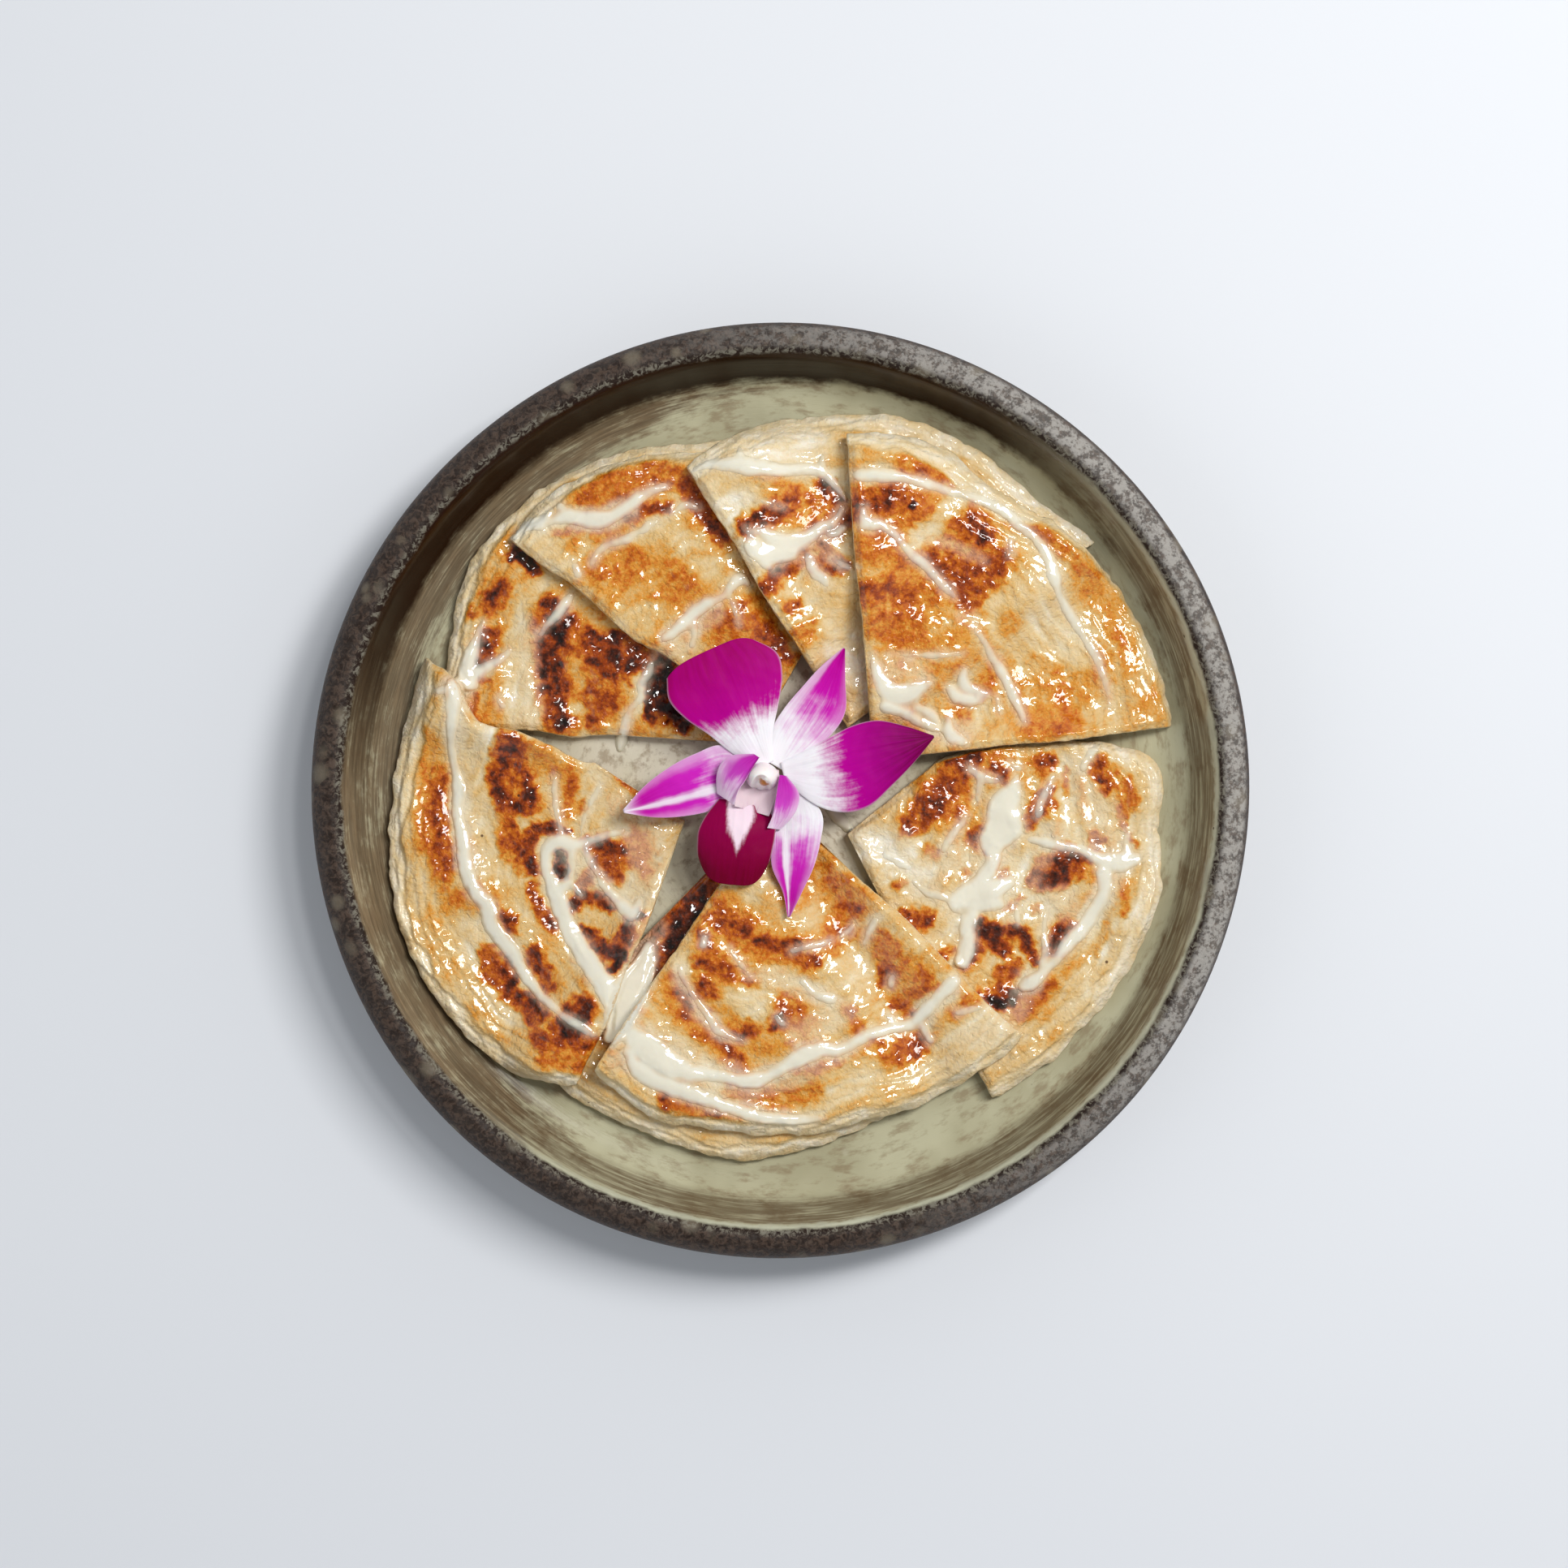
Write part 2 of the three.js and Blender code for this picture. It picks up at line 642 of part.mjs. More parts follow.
/** One petal, sepal or lobe: a thin wavy sheet that rests on the bread where it comes low. */
function blade({ root, tip, left, right, rise, cup, lean = 0, bow = 0 }, bread) {
  const [dx, dy] = [tip[0] - root[0], tip[1] - root[1]];
  const length = Math.hypot(dx, dy);
  const place = (i, j) => {
    const share = i / (BLADE_ROWS - 1);
    const across = 1 - (2 * j) / (BLADE_COLUMNS - 1);
    return { share, across, half: along(across > 0 ? left : right, share) };
  };
  const plan = (i, j) => {
    const { share, across, half } = place(i, j);
    const [ahead, aside] = [share - bow * across ** 4 * share ** 3, across * half];
    return [root[0] + dx * ahead - (dy / length) * aside, root[1] + dy * ahead + (dx / length) * aside];
  };
  const under = (x, y, i, j) => {
    const { share, across } = place(i, j);
    const wave = 0.3 * across * Math.sin(7 * share + 2 * across);
    const own = FLOWER_LEVEL + along(rise, share) + cup * across ** 2 + lean * across + wave;
    return Math.max(own, bread.at(x, y) + PETAL_REST);
  };
  const over = (...at) => under(...at) + PETAL_THICKNESS;
  return sheet(BLADE_ROWS, BLADE_COLUMNS, (i, j) => plan(i, BLADE_COLUMNS - 1 - j), over, under);
}

/** The hooded column in the middle of the flower. */
function column() {
  const hood = new THREE.SphereGeometry(COLUMN_RADIUS, 12, 8).rotateX(Math.PI / 2);
  hood.scale(1, 1, COLUMN_HEIGHT / 2 / COLUMN_RADIUS);
  hood.translate(...COLUMN_AT, FLOWER_LEVEL + COLUMN_HEIGHT / 2);
  return solidOf(hood);
}

function orchid(stack) {
  const bread = stack.draped(PETAL_REACH);
  const made = fused([column(), ...BLADES.map((shape) => blade(shape, bread))]);
  return meshOf("orchid", made, 0xb01f9c, 0.55);
}

// ---- The plate of roti ----

function plateOfRoti() {
  const group = new THREE.Group();
  group.add(plate());
  let stack = new HeightMap();
  QUARTERS.forEach((quarter, seed) => {
    const laid = layQuarter(quarter, seed, stack);
    stack = laid.stack;
    group.add(laid.mesh);
  });
  group.add(orchid(stack));
  return group;
}

export default plateOfRoti();
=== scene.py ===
"""A stoneware plate of flaky pan-fried roti quarters under sweet milk, with one orchid on the middle.

The shapes are worked out in millimetres, with the same values as the solids, and turned into metres when a
mesh is made. Each quarter is a fine closed sheet with its blisters, coil ridges and torn flaky rim. The
browning is laid on as scorches, the milk as a height field of strokes and pools, and the flower as thin
wavy blades.
"""

import math

import bpy
import numpy as np
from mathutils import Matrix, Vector
from mathutils.geometry import delaunay_2d_cdt


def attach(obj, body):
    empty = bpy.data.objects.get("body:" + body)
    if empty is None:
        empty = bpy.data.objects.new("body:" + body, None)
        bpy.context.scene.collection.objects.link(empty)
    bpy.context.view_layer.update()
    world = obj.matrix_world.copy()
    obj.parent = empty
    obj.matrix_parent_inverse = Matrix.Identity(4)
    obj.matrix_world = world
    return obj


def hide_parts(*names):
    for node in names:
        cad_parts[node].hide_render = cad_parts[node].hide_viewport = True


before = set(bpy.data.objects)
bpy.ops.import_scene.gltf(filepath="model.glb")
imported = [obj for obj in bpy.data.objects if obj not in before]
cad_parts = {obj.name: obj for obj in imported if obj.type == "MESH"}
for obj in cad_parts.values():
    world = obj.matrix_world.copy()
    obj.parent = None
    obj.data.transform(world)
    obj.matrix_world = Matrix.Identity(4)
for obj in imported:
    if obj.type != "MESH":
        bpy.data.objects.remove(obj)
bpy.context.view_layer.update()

MM = 0.001

# ---- Values shared with the solids ----

PLATE_RADIUS = 115.0
FLOOR_LEVEL = 7.0
PLATE_INSIDE = [
    (0, FLOOR_LEVEL), (90, FLOOR_LEVEL), (97, 7.6), (101, 9.5), (103, 13), (104.5, 18), (106, 23.4),
    (107.5, 25.3), (109.5, 26),
]
PLATE_OUTSIDE = [
    (112, 25.2), (114.3, 22.8), (115, 19.5), (112, 14.5), (104, 9), (88, 4), (76, 2), (74, 0), (64, 0),
    (62, 2), (0, 2),
]

LAYER_GAP = 0.35  # between a quarter and what it lies on
DRAPE_REACH = 4  # how far a quarter spans across a step below it
COIL_ARC = 45  # millimetres along the coil for each radian round the quarter's point
RIM_SHARE = 0.42  # of the thickness that is left at the rim
RIM_FLAKE = 3.2  # width over which the rim thins
CUT_SHARE = 0.78  # of the thickness that is left at a cut
CUT_ROUND = 1.8  # width over which a cut rounds off

STRAIGHT = [0, 0]
# In laying order: point, angles of the two cut edges, radii of the rim, swells of the cut edges, thickness.
QUARTERS = {
    "roti_south_under": dict(
        point=(-12.3, -14.1), start=226, end=307, thickness=4.6,
        rim=[70, 73, 73.5, 76.5, 76.8, 76.5, 75.5],
        from_edge=STRAIGHT, to_edge=STRAIGHT,
    ),
    "roti_east": dict(
        point=(16.5, -10.7), start=-61, end=38.5, thickness=5,
        rim=[74.5, 75, 75.8, 77.5, 78.6, 77, 77.5, 52, 29.5],
        from_edge=[0, 0.8, 0.6, 0, 0], to_edge=STRAIGHT,
    ),
    "roti_west": dict(
        point=(-12.3, 11.9), start=85, end=175.8, thickness=4.8,
        rim=[73.7, 75, 77, 78.4, 78, 73.5, 72.5],
        from_edge=STRAIGHT, to_edge=[0, 0, 0.6, 0, 1.2, 0.4, 1, 0, 0],
    ),
    "roti_north_west": dict(
        point=(-4.4, 16.7), start=60, end=143.8, thickness=4.8,
        rim=[69.5, 69, 68.5, 68, 72.5, 76, 76.9],
        from_edge=STRAIGHT, to_edge=[0, 0.5, 1, 0.6, 2, 0.8, 0, 0.6, 0],
    ),
    "roti_south_west": dict(
        point=(-23.8, -7.5), start=-112.6, end=-209.6, thickness=4.8,
        rim=[70, 75.3, 75.4, 75, 74.5, 73, 72.2, 72.5, 75.4],
        from_edge=[0, 0.6, 1.4, 0.8, 1.6, 0.8, 0], to_edge=[0, 1, 7, 0.6, 0, -1.2, -3.6, 2.4, 3.4],
    ),
    "roti_north": dict(
        point=(16.7, 15.7), start=37, end=121.7, thickness=5,
        rim=[76, 73, 75.5, 77.6, 77, 77.3, 74.8],
        from_edge=STRAIGHT, to_edge=[0, 0.4, 0.2, 0.6, 0, 0.3, 0],
    ),
    "roti_south": dict(
        point=(-0.7, -2.3), start=-124, end=-44.2, thickness=5.2,
        rim=[80, 83.2, 82.8, 82, 82.3, 81.8, 82.8, 83.2, 83.5],
        from_edge=[0, 0.3, 0, 0.5, 0], to_edge=[0, 0.4, 0, 0.8, 0.6, 0, 0.5],
    ),
    "roti_north_east": dict(
        point=(22.8, 7.7), start=6.5, end=94.6, thickness=5.2,
        rim=[74.3, 73.8, 73.8, 73.2, 72.9, 78.8, 79.8],
        from_edge=[0, 0.5, 0, 0.6, 0.2, 0], to_edge=[0, 0.4, -0.2, 0.5, 0.3, 0],
    ),
}

FLOWER_LEVEL = 17.5
PETAL_REST = 0.4  # gap between a petal and the bread that it rests on
PETAL_BODY = 0.8  # a petal's thickness along its middle

# ---- Browning: how toasted the dough is, from 0, raw cream, to 1, black ----

RAW, CREAM, GOLD, AMBER, ORANGE, BROWN, DARK, CHAR = 0.04, 0.14, 0.28, 0.39, 0.5, 0.63, 0.76, 0.92

# Each quarter's shade away from its scorches.
GROUND = {
    "roti_south_under": AMBER, "roti_east": 0.19, "roti_west": 0.3, "roti_north_west": 0.31,
    "roti_south_west": 0.22, "roti_north": 0.18, "roti_south": 0.27, "roti_north_east": 0.3,
}
# Width of the pale torn rim outside the browned skin, from one cut edge round to the other.
PALE_RIM = {
    "roti_south_under": [3, 3, 3], "roti_east": [3, 2.5, 4, 5, 5, 4, 3, 2], "roti_west": [3, 3, 2.5, 3, 4],
    "roti_north_west": [1.5, 1.5, 1.5, 1.5, 2, 3], "roti_south_west": [2.5, 3, 3.5, 3, 3, 4, 5, 3],
    "roti_north": [3, 4, 4, 4], "roti_south": [1.5, 2, 2.5, 3, 3, 2.5, 2],
    "roti_north_east": [0.8, 0.8, 0.8, 1.6, 6, 5, 3],
}
HALO = 1.8  # how far the golden fringe of a dark scorch reaches
# How strongly the folds and plies of each quarter stand out.
CRUMPLE = {
    "roti_south_under": 1.0, "roti_east": 1.7, "roti_west": 1.3, "roti_north_west": 1.0,
    "roti_south_west": 1.2, "roti_north": 1.4, "roti_south": 1.1, "roti_north_east": 1.15,
}
# The scorches of each quarter, with a painted shadow among them, in the order they are painted: shade,
# softness of the edge as a share of the radius, and routes of (x, y, radius).
SCORCHES_AND_SHADOWS = {
    "roti_south_under": [
        (BROWN, 0.5, [(-22, -22, 8), (-30, -40, 6)]),
        (DARK, 0.5, [(-19.3, -27.5, 4), (-26, -37, 3.4)]),
        (CHAR, 0.4, [(-19.3, -27.5, 2), (-26.7, -36.9, 1.6)]),
        (CREAM, 0.6, [(-60, -75, 12), (0, -92, 8), (40, -85, 9)]),
    ],
    "roti_east": [
        (AMBER, 0.9, [(40, 0, 11), (50, 8, 8)]),
        (GOLD, 0.8, [(74, 3, 3), (75, -4, 3)], [(62, -1, 3)], [(56, -48, 7), (66, -52, 6), (72, -44, 5)]),
        (BROWN, 0.5, [(46, 7, 2.4), (43, 3, 3.6), (39, -1, 3.8), (32.9, -8.1, 3.2)]),
        (DARK, 0.5, [(48.4, 8.8, 1.7), (42, 8.2, 1.6)]),
        (ORANGE, 0.6, [(44.6, -1.4, 2.4), (42.6, -5.6, 2.2)]),
        (BROWN, 0.5, [(52.4, 5.6, 1.3), (54.6, 3.6, 1.6)], [(48.6, -9.4, 1), (47.6, -12, 1.4),
         (50, -15, 1)]),
        (ORANGE, 0.6, [(46, -20.2, 1.5)], [(52.8, -17.4, 1), (54.8, -20.6, 1.6)]),
        (BROWN, 0.5, [(65.4, 7.4, 2.5)]),
        (DARK, 0.5, [(65.6, 7.2, 1.1)]),
        (ORANGE, 0.6, [(64.4, 3.6, 1.4)]),
        (BROWN, 0.5, [(66.4, 0.6, 1.1), (64.6, -2, 1.6), (63, -5.6, 2.2), (62, -7.6, 1.6)]),
        (DARK, 0.5, [(62.8, -5, 1)]),
        (ORANGE, 0.6, [(67.6, -3.2, 1.6)], [(71, 5, 0.9), (70.6, 0, 1.1)]),
        (BROWN, 0.5, [(79.2, 5.6, 2.7), (80.6, 1.2, 1.9)]),
        (DARK, 0.5, [(78.6, 6, 1.1)]),
        (ORANGE, 0.6, [(83, 5.6, 1.5), (85, 2, 2.5), (86, -2, 2.3), (85, -6, 1.7), (84.6, -9, 1.1)]),
        (BROWN, 0.6, [(78, -11.9, 1.9)]),
        (ORANGE, 0.6, [(76.4, -13.2, 1.4)], [(86, -11, 1.1), (88.4, -13.6, 0.9)]),
        (BROWN, 0.5, [(70.6, -15, 2), (66, -19, 3), (63.6, -22.4, 2.2)], [(70, -21.8, 2.2),
         (74, -18.6, 2)]),
        (DARK, 0.5, [(70.4, -16, 1.7), (68.6, -19.2, 2.6), (66, -21.4, 1.6)], [(72, -17, 1.3),
         (75.8, -17.4, 1.2)]),
        (AMBER, 0.6, [(77.4, -20.6, 2.2)]),
        (ORANGE, 0.6, [(60, -26, 1.2), (56.2, -29.4, 1.2)], [(63.6, -28.9, 1.3)]),
        (DARK, 0.5, [(50, -33.4, 2.2), (52.4, -36, 2.8), (55.4, -38.4, 2.2)], [(57.4, -34.6, 1.4),
         (60, -35.4, 1.7), (62, -39.6, 1.3), (63, -42, 0.9)]),
        (BROWN, 0.5, [(48.4, -38.4, 1.4), (47, -41, 1.2), (45, -43.6, 1)], [(70.4, -33.2, 1.7),
         (68.4, -36.4, 2.1), (66.4, -40, 1.6)]),
        (DARK, 0.5, [(69.4, -34.6, 1.1), (67.2, -38.6, 1.1)]),
        (BROWN, 0.5, [(58, -42.6, 1.8), (55.6, -45, 2), (55, -48, 1.8)]),
        (DARK, 0.5, [(50.6, -50.6, 1.4), (54, -51.2, 2.8), (57.8, -50, 1.8)]),
        (CHAR, 0.5, [(53.6, -52, 1.9), (56, -52.6, 1.3)]),
        (ORANGE, 0.6, [(66.8, -48.6, 2.2), (61.6, -52.6, 2.8), (58.6, -55, 2)]),
        (AMBER, 0.6, [(65.4, -54.4, 2.6)]),
        (AMBER, 0.7, [(80.4, -33, 1.5), (79, -37.6, 1.7), (75, -41.6, 1.4), (71.2, -45, 1.4)],
         [(85.6, -22, 1.2), (84.6, -26, 1.7), (84.4, -30.6, 1.2)]),
        (BROWN, 0.5, [(29.6, -22.4, 1.4)]),
        (BROWN, 0.6, [(33.6, -17.8, 1.4), (36.6, -16, 1.9)]),
        (BROWN, 0.5, [(30.4, -30.6, 1.3), (35.4, -32, 2.4)]),
        (DARK, 0.5, [(35.6, -32.4, 1.2)]),
        (BROWN, 0.5, [(40.4, -40, 1.6)]),
        (RAW, 0.6, [(22, -14, 5), (34, -19, 4)]),
    ],
    "roti_west": [
        (BROWN, 0.7, [(-55, 40, 5), (-56, 28, 5), (-54, 18, 4)]),
        (BROWN, 0.6, [(-45, 34, 5), (-38, 33, 4.4), (-30, 28, 5)]),
        (ORANGE, 0.7, [(-50, 24, 5), (-44, 22, 5)]),
        (CREAM, 0.5, [(-66, 47, 3.4), (-65, 32, 3), (-63.4, 17, 3.4)]),
        (AMBER, 0.6, [(-70, 50, 4), (-71, 36, 4)]),
        (CHAR, 0.5, [(-64.7, 58.4, 2.4), (-60, 55, 1.6)]),
        (BROWN, 0.5, [(-68.6, 50.8, 1.5), (-71, 47, 2.5)]),
        (DARK, 0.5, [(-71, 47.4, 1.4)]),
        (BROWN, 0.5, [(-76.8, 44.8, 1.5)], [(-70.8, 38.6, 2), (-72.2, 34, 2.2), (-75.2, 30, 1.5),
         (-73.2, 27.4, 1.1)]),
        (DARK, 0.5, [(-72.8, 38, 1.6), (-73.2, 34, 1.4), (-75, 30.6, 0.9)]),
        (ORANGE, 0.6, [(-75.6, 23, 1.4), (-75.6, 19, 1.4)]),
        (DARK, 0.5, [(-57.4, 46.6, 2.2)], [(-53.6, 42.4, 2.6), (-55, 38.6, 3), (-57, 34, 2.8),
         (-57.4, 29.4, 2.5), (-55, 25, 2.3), (-54.6, 20.6, 2.3), (-55, 17, 2.5)]),
        (CHAR, 0.6, [(-54.4, 41, 1.7), (-55, 38, 1.7)], [(-57.6, 31.6, 1.5), (-57.8, 28, 1.4)],
         [(-54, 16.6, 1.5)]),
        (GOLD, 0.5, [(-51.2, 31.4, 2.4)]),
        (DARK, 0.5, [(-47.2, 38.5, 1.5), (-42.6, 35.6, 2.8), (-40, 37.6, 1.8)], [(-46, 33, 1.6),
         (-39.6, 31.4, 1.8), (-36.4, 32.8, 1.8)], [(-42.4, 28.3, 1.7)]),
        (AMBER, 0.5, [(-48.8, 27.2, 2)]),
        (BROWN, 0.5, [(-46, 25.2, 1.8), (-47.4, 22.4, 2.2), (-42, 22.6, 2.6)]),
        (GOLD, 0.5, [(-50.4, 20, 1.6)]),
        (DARK, 0.5, [(-46.8, 17.4, 1.6)]),
        (CHAR, 0.5, [(-29, 30.4, 2.4), (-31.2, 24.6, 2.8), (-28, 21.4, 2.4), (-24.4, 17.6, 3)]),
        (DARK, 0.5, [(-31.8, 19.6, 2.2)]),
        (CREAM, 0.6, [(-35, 28.3, 1.2), (-34.4, 20, 1.2)]),
    ],
    "roti_north_west": [
        (AMBER, 0.8, [(-44, 56, 5), (-36, 53, 6), (-26, 51, 6)]),
        (ORANGE, 0.7, [(-50, 72, 1.8), (-45, 74, 2.4), (-40, 76.4, 3.4), (-34, 77.4, 4), (-29, 77.4, 3.8),
         (-25, 76.6, 3)]),
        (CREAM, 0.7, [(-60, 62, 5), (-54, 55, 4)]),
        # painted shadow: these brown and dark strokes along roti_north's cut edge stand for the shade that
        # edge casts on this quarter
        (BROWN, 0.6, [(-23, 75.6, 2), (-20.6, 71, 2.2), (-17, 67, 2.3), (-14.4, 62.8, 2.1)]),
        (DARK, 0.5, [(-15.8, 65.2, 1.5), (-14, 62.8, 1.2)]),
        (ORANGE, 0.6, [(-55, 63, 1.2), (-51, 64.4, 1.5), (-47, 63.8, 1.2)], [(-44, 64, 2.6),
         (-41, 65.6, 1.6)]),
        (BROWN, 0.5, [(-37, 66.8, 1.4), (-33, 68.4, 1.4), (-28, 70, 1.4)]),
        (ORANGE, 0.7, [(-38, 58.4, 2), (-35, 56, 2.4), (-39, 53.4, 2.4)], [(-44, 55, 2), (-46, 51, 1.6)],
         [(-27, 55, 2), (-22, 51, 2.4), (-29, 49, 2)]),
        (ORANGE, 0.8, [(-14, 40, 5), (-7, 46, 4), (-3, 36, 6)]),
        (BROWN, 0.7, [(-4, 40, 2.4), (0, 33, 3)]),
    ],
    "roti_south_west": [
        (AMBER, 0.7, [(-88, 14, 2.6), (-85, 4, 4), (-85.5, -10, 4.6), (-82.5, -22, 3)]),
        (ORANGE, 0.6, [(-85, 4, 2.8), (-85, -6, 4), (-84.4, -14, 4), (-83, -20, 2.6)]),
        (BROWN, 0.5, [(-84, 2, 1.6), (-84.6, -6, 2.4), (-83.4, -12, 2.4), (-82, -18, 1.6)]),
        (AMBER, 0.8, [(-72, -26, 4), (-80, -27, 3)]),
        (ORANGE, 0.6, [(-79.4, -26, 1.8)]),
        (AMBER, 0.8, [(-60, 8, 4), (-52, 6, 3)]),
        (BROWN, 0.5, [(-66, 11, 3.6), (-67.4, 5, 4.4), (-66.6, -1, 4.6), (-63, -3, 3)]),
        (DARK, 0.5, [(-65.5, 12.6, 1.6), (-69.6, 6, 1.5), (-70.2, -1, 1.4), (-66, -4.2, 1.6),
         (-61.8, -2.4, 1.6), (-62.4, 3.4, 1.3)]),
        (ORANGE, 0.6, [(-65.6, 1, 1.6)]),
        (BROWN, 0.5, [(-66.6, -6.5, 1.2), (-65.6, -10, 1.4)]),
        (ORANGE, 0.6, [(-68.5, -10, 2), (-66, -13.5, 3.4), (-63.6, -18.6, 2.4)]),
        (BROWN, 0.5, [(-66.6, -12.6, 2), (-64.4, -15.6, 1.6)]),
        (DARK, 0.5, [(-52.6, -10.4, 1), (-57, -8.8, 1.7), (-61, -9.2, 1.3), (-62.6, -13, 1.5),
         (-61.4, -17.4, 1.5), (-60.6, -20.6, 1)]),
        (BROWN, 0.5, [(-61, -24.6, 1.6), (-59.4, -29, 1.8), (-57, -33, 2)]),
        (DARK, 0.5, [(-56.5, -33, 1.3)]),
        (CHAR, 0.5, [(-54.8, -16, 1.4), (-54, -19.6, 1.7)]),
        (BROWN, 0.5, [(-46.4, -13, 2), (-42, -15.4, 3), (-38.6, -16, 2.2)]),
        (DARK, 0.5, [(-46.6, -13, 1.3), (-42.6, -14.2, 2), (-38.8, -14.8, 1.4)]),
        (ORANGE, 0.6, [(-36, -12, 3.4), (-33, -19, 3.4)]),
        (BROWN, 0.6, [(-44, -18, 2.6), (-41, -20.6, 2)]),
        (BROWN, 0.5, [(-48.6, -22.4, 1.5), (-47.4, -20.8, 1)]),
        (CHAR, 0.5, [(-51.8, -28.2, 1.4), (-49.8, -25.8, 1.2)]),
        (DARK, 0.5, [(-49.6, -25.8, 1.4), (-46, -26.2, 1.7), (-42.6, -28, 1.8)]),
        (GOLD, 0.5, [(-45, -32, 2.8)]),
        (DARK, 0.5, [(-48.6, -34.6, 1.2), (-46, -37, 1.5), (-43, -38.8, 2), (-40, -39.6, 2.1),
         (-38, -36, 1.8), (-37, -32, 1.3)]),
        (CHAR, 0.5, [(-39.4, -41, 1.4), (-40.8, -44, 1)], [(-34.6, -30.8, 1.1)]),
        (BROWN, 0.5, [(-67.4, -30.4, 1.6), (-66.4, -34, 1.4)]),
        (DARK, 0.5, [(-67, -32, 1.1)]),
        (BROWN, 0.5, [(-72, -40, 2.2), (-71, -44.6, 2.8), (-68.6, -48, 2.4), (-64.6, -51.4, 2.2),
         (-59.6, -54.8, 2.4)]),
        (DARK, 0.5, [(-67.4, -41.4, 1.5), (-66.6, -45, 1.7), (-67, -48.8, 1.7), (-63.4, -51.2, 1.6),
         (-60.4, -53.4, 1.3)]),
        (BROWN, 0.5, [(-60.8, -40, 1.7), (-58.8, -45, 2.3), (-57, -49, 1)]),
        (DARK, 0.5, [(-60.9, -41.4, 1.4), (-58.9, -45, 1.7)]),
        (BROWN, 0.5, [(-48.6, -53, 3), (-52.4, -58.6, 3.8), (-47, -62, 2.4)]),
        (DARK, 0.5, [(-48.6, -52.6, 2.4), (-52.6, -58.8, 3)]),
        (CHAR, 0.5, [(-47.4, -54.6, 1.1), (-53, -59.4, 1.2)]),
        (BROWN, 0.5, [(-60.6, -57, 1.8), (-60, -60.4, 1.6), (-55.4, -61.8, 2.4)]),
        (ORANGE, 0.6, [(-57.4, -66, 2), (-50, -66.4, 2.8), (-46, -69, 2)], [(-51, 2.4, 1.6),
         (-52.6, -4.6, 2.2), (-49, -3.6, 1.3)]),
        (DARK, 0.5, [(-38.4, 5, 2.4), (-34.6, 2.6, 2.8), (-31, 0.4, 3)]),
    ],
    "roti_north": [
        (AMBER, 0.8, [(-1.5, 73.5, 4.4), (8, 71, 5)]),
        (ORANGE, 0.7, [(11.7, 68, 5), (6, 57, 4)]),
        (BROWN, 0.5, [(-7.6, 64.6, 2.6), (-2, 67.4, 3), (5, 71.4, 2.6)]),
        (DARK, 0.5, [(-8.4, 64, 1.8), (-3, 67.2, 2), (1.6, 69.4, 1.5)]),
        (BROWN, 0.5, [(-4, 49.9, 2.4), (2.6, 54.6, 2.2)]),
        (DARK, 0.5, [(-3.6, 50.6, 1.3), (1.4, 53.6, 1.3)], [(11.5, 74.5, 2.2), (14, 71, 1.8)]),
        (BROWN, 0.5, [(16.6, 67, 2.2), (13, 63, 2)], [(10, 57, 3.4), (15, 55, 2)], [(3.1, 45.1, 1.8)]),
        (ORANGE, 0.7, [(6.1, 38.3, 3.2)]),
        (RAW, 0.6, [(6, 86, 6), (-10, 84, 4)]),
    ],
    "roti_south": [
        (AMBER, 0.8, [(-14, -34, 8), (4, -38, 6), (28, -44, 7)], [(-22, -52, 6), (-10, -62, 6),
         (3, -57, 5)]),
        (AMBER, 0.9, [(10, -20, 8), (18, -28, 6)]),
        (CREAM, 0.7, [(-10, -50, 3.6), (-6, -53, 4)], [(12, -44, 4), (20, -46, 4), (18, -40, 3)],
         [(20, -70, 4)]),
        (ORANGE, 0.7, [(-15, -28, 3), (-10, -33, 4.4), (-8, -38, 3)]),
        (BROWN, 0.6, [(-16, -31, 2), (-9, -34, 2.2)]),
        (BROWN, 0.5, [(-19, -36.6, 1.8), (-17, -39.6, 1.6)]),
        (ORANGE, 0.6, [(-19.6, -42, 2.6), (-14, -44, 3), (-8, -46, 2.6)]),
        (BROWN, 0.5, [(-19.6, -42, 1.5), (-15, -44, 1.7), (-9, -46, 1.5)]),
        (ORANGE, 0.6, [(-4, -39, 2.4), (2, -40, 3), (7, -41.4, 2.6), (12, -38, 2)]),
        (BROWN, 0.5, [(-5, -38, 1.6), (0, -38, 1.8), (4, -40, 1.6), (9, -42, 1.2)]),
        (DARK, 0.5, [(0.6, -37, 1), (5, -37.4, 0.9)]),
        (ORANGE, 0.7, [(13, -22, 2.6), (18, -27, 3.6), (15, -33, 3.4)]),
        (BROWN, 0.7, [(17.6, -28, 1.8)]),
        (ORANGE, 0.6, [(-26, -47, 2.4), (-24.6, -51, 3), (-22, -55, 2.6), (-19, -59, 2)]),
        (BROWN, 0.5, [(-25, -49, 1.3), (-22.6, -54, 1.5)]),
        (ORANGE, 0.6, [(-19, -46, 2.6), (-18, -50, 2.6)]),
        (BROWN, 0.5, [(-18.8, -46, 1.2), (-18, -49, 1.6)]),
        (ORANGE, 0.6, [(-16, -61, 3), (-13, -64.6, 3.4), (-10, -67, 2)]),
        (BROWN, 0.5, [(-14.6, -62.6, 1.7), (-11, -64.6, 1.7)], [(-9, -58.6, 2.6), (-6.4, -59, 1.4)]),
        (DARK, 0.5, [(-8.4, -58.8, 1.4)]),
        (ORANGE, 0.6, [(1, -52, 3.8), (4, -56, 3)]),
        (BROWN, 0.5, [(0.4, -52, 1.2), (3, -54, 1.6), (0, -57.6, 1.6)]),
        (DARK, 0.5, [(2.8, -54, 1.1), (-1.4, -57.6, 1.2)]),
        (ORANGE, 0.6, [(17, -54.5, 2.4), (19, -58, 2)]),
        (BROWN, 0.5, [(17.4, -54, 0.9)]),
        (ORANGE, 0.6, [(26, -36, 2), (27, -41, 2.6), (26, -46, 2.2)]),
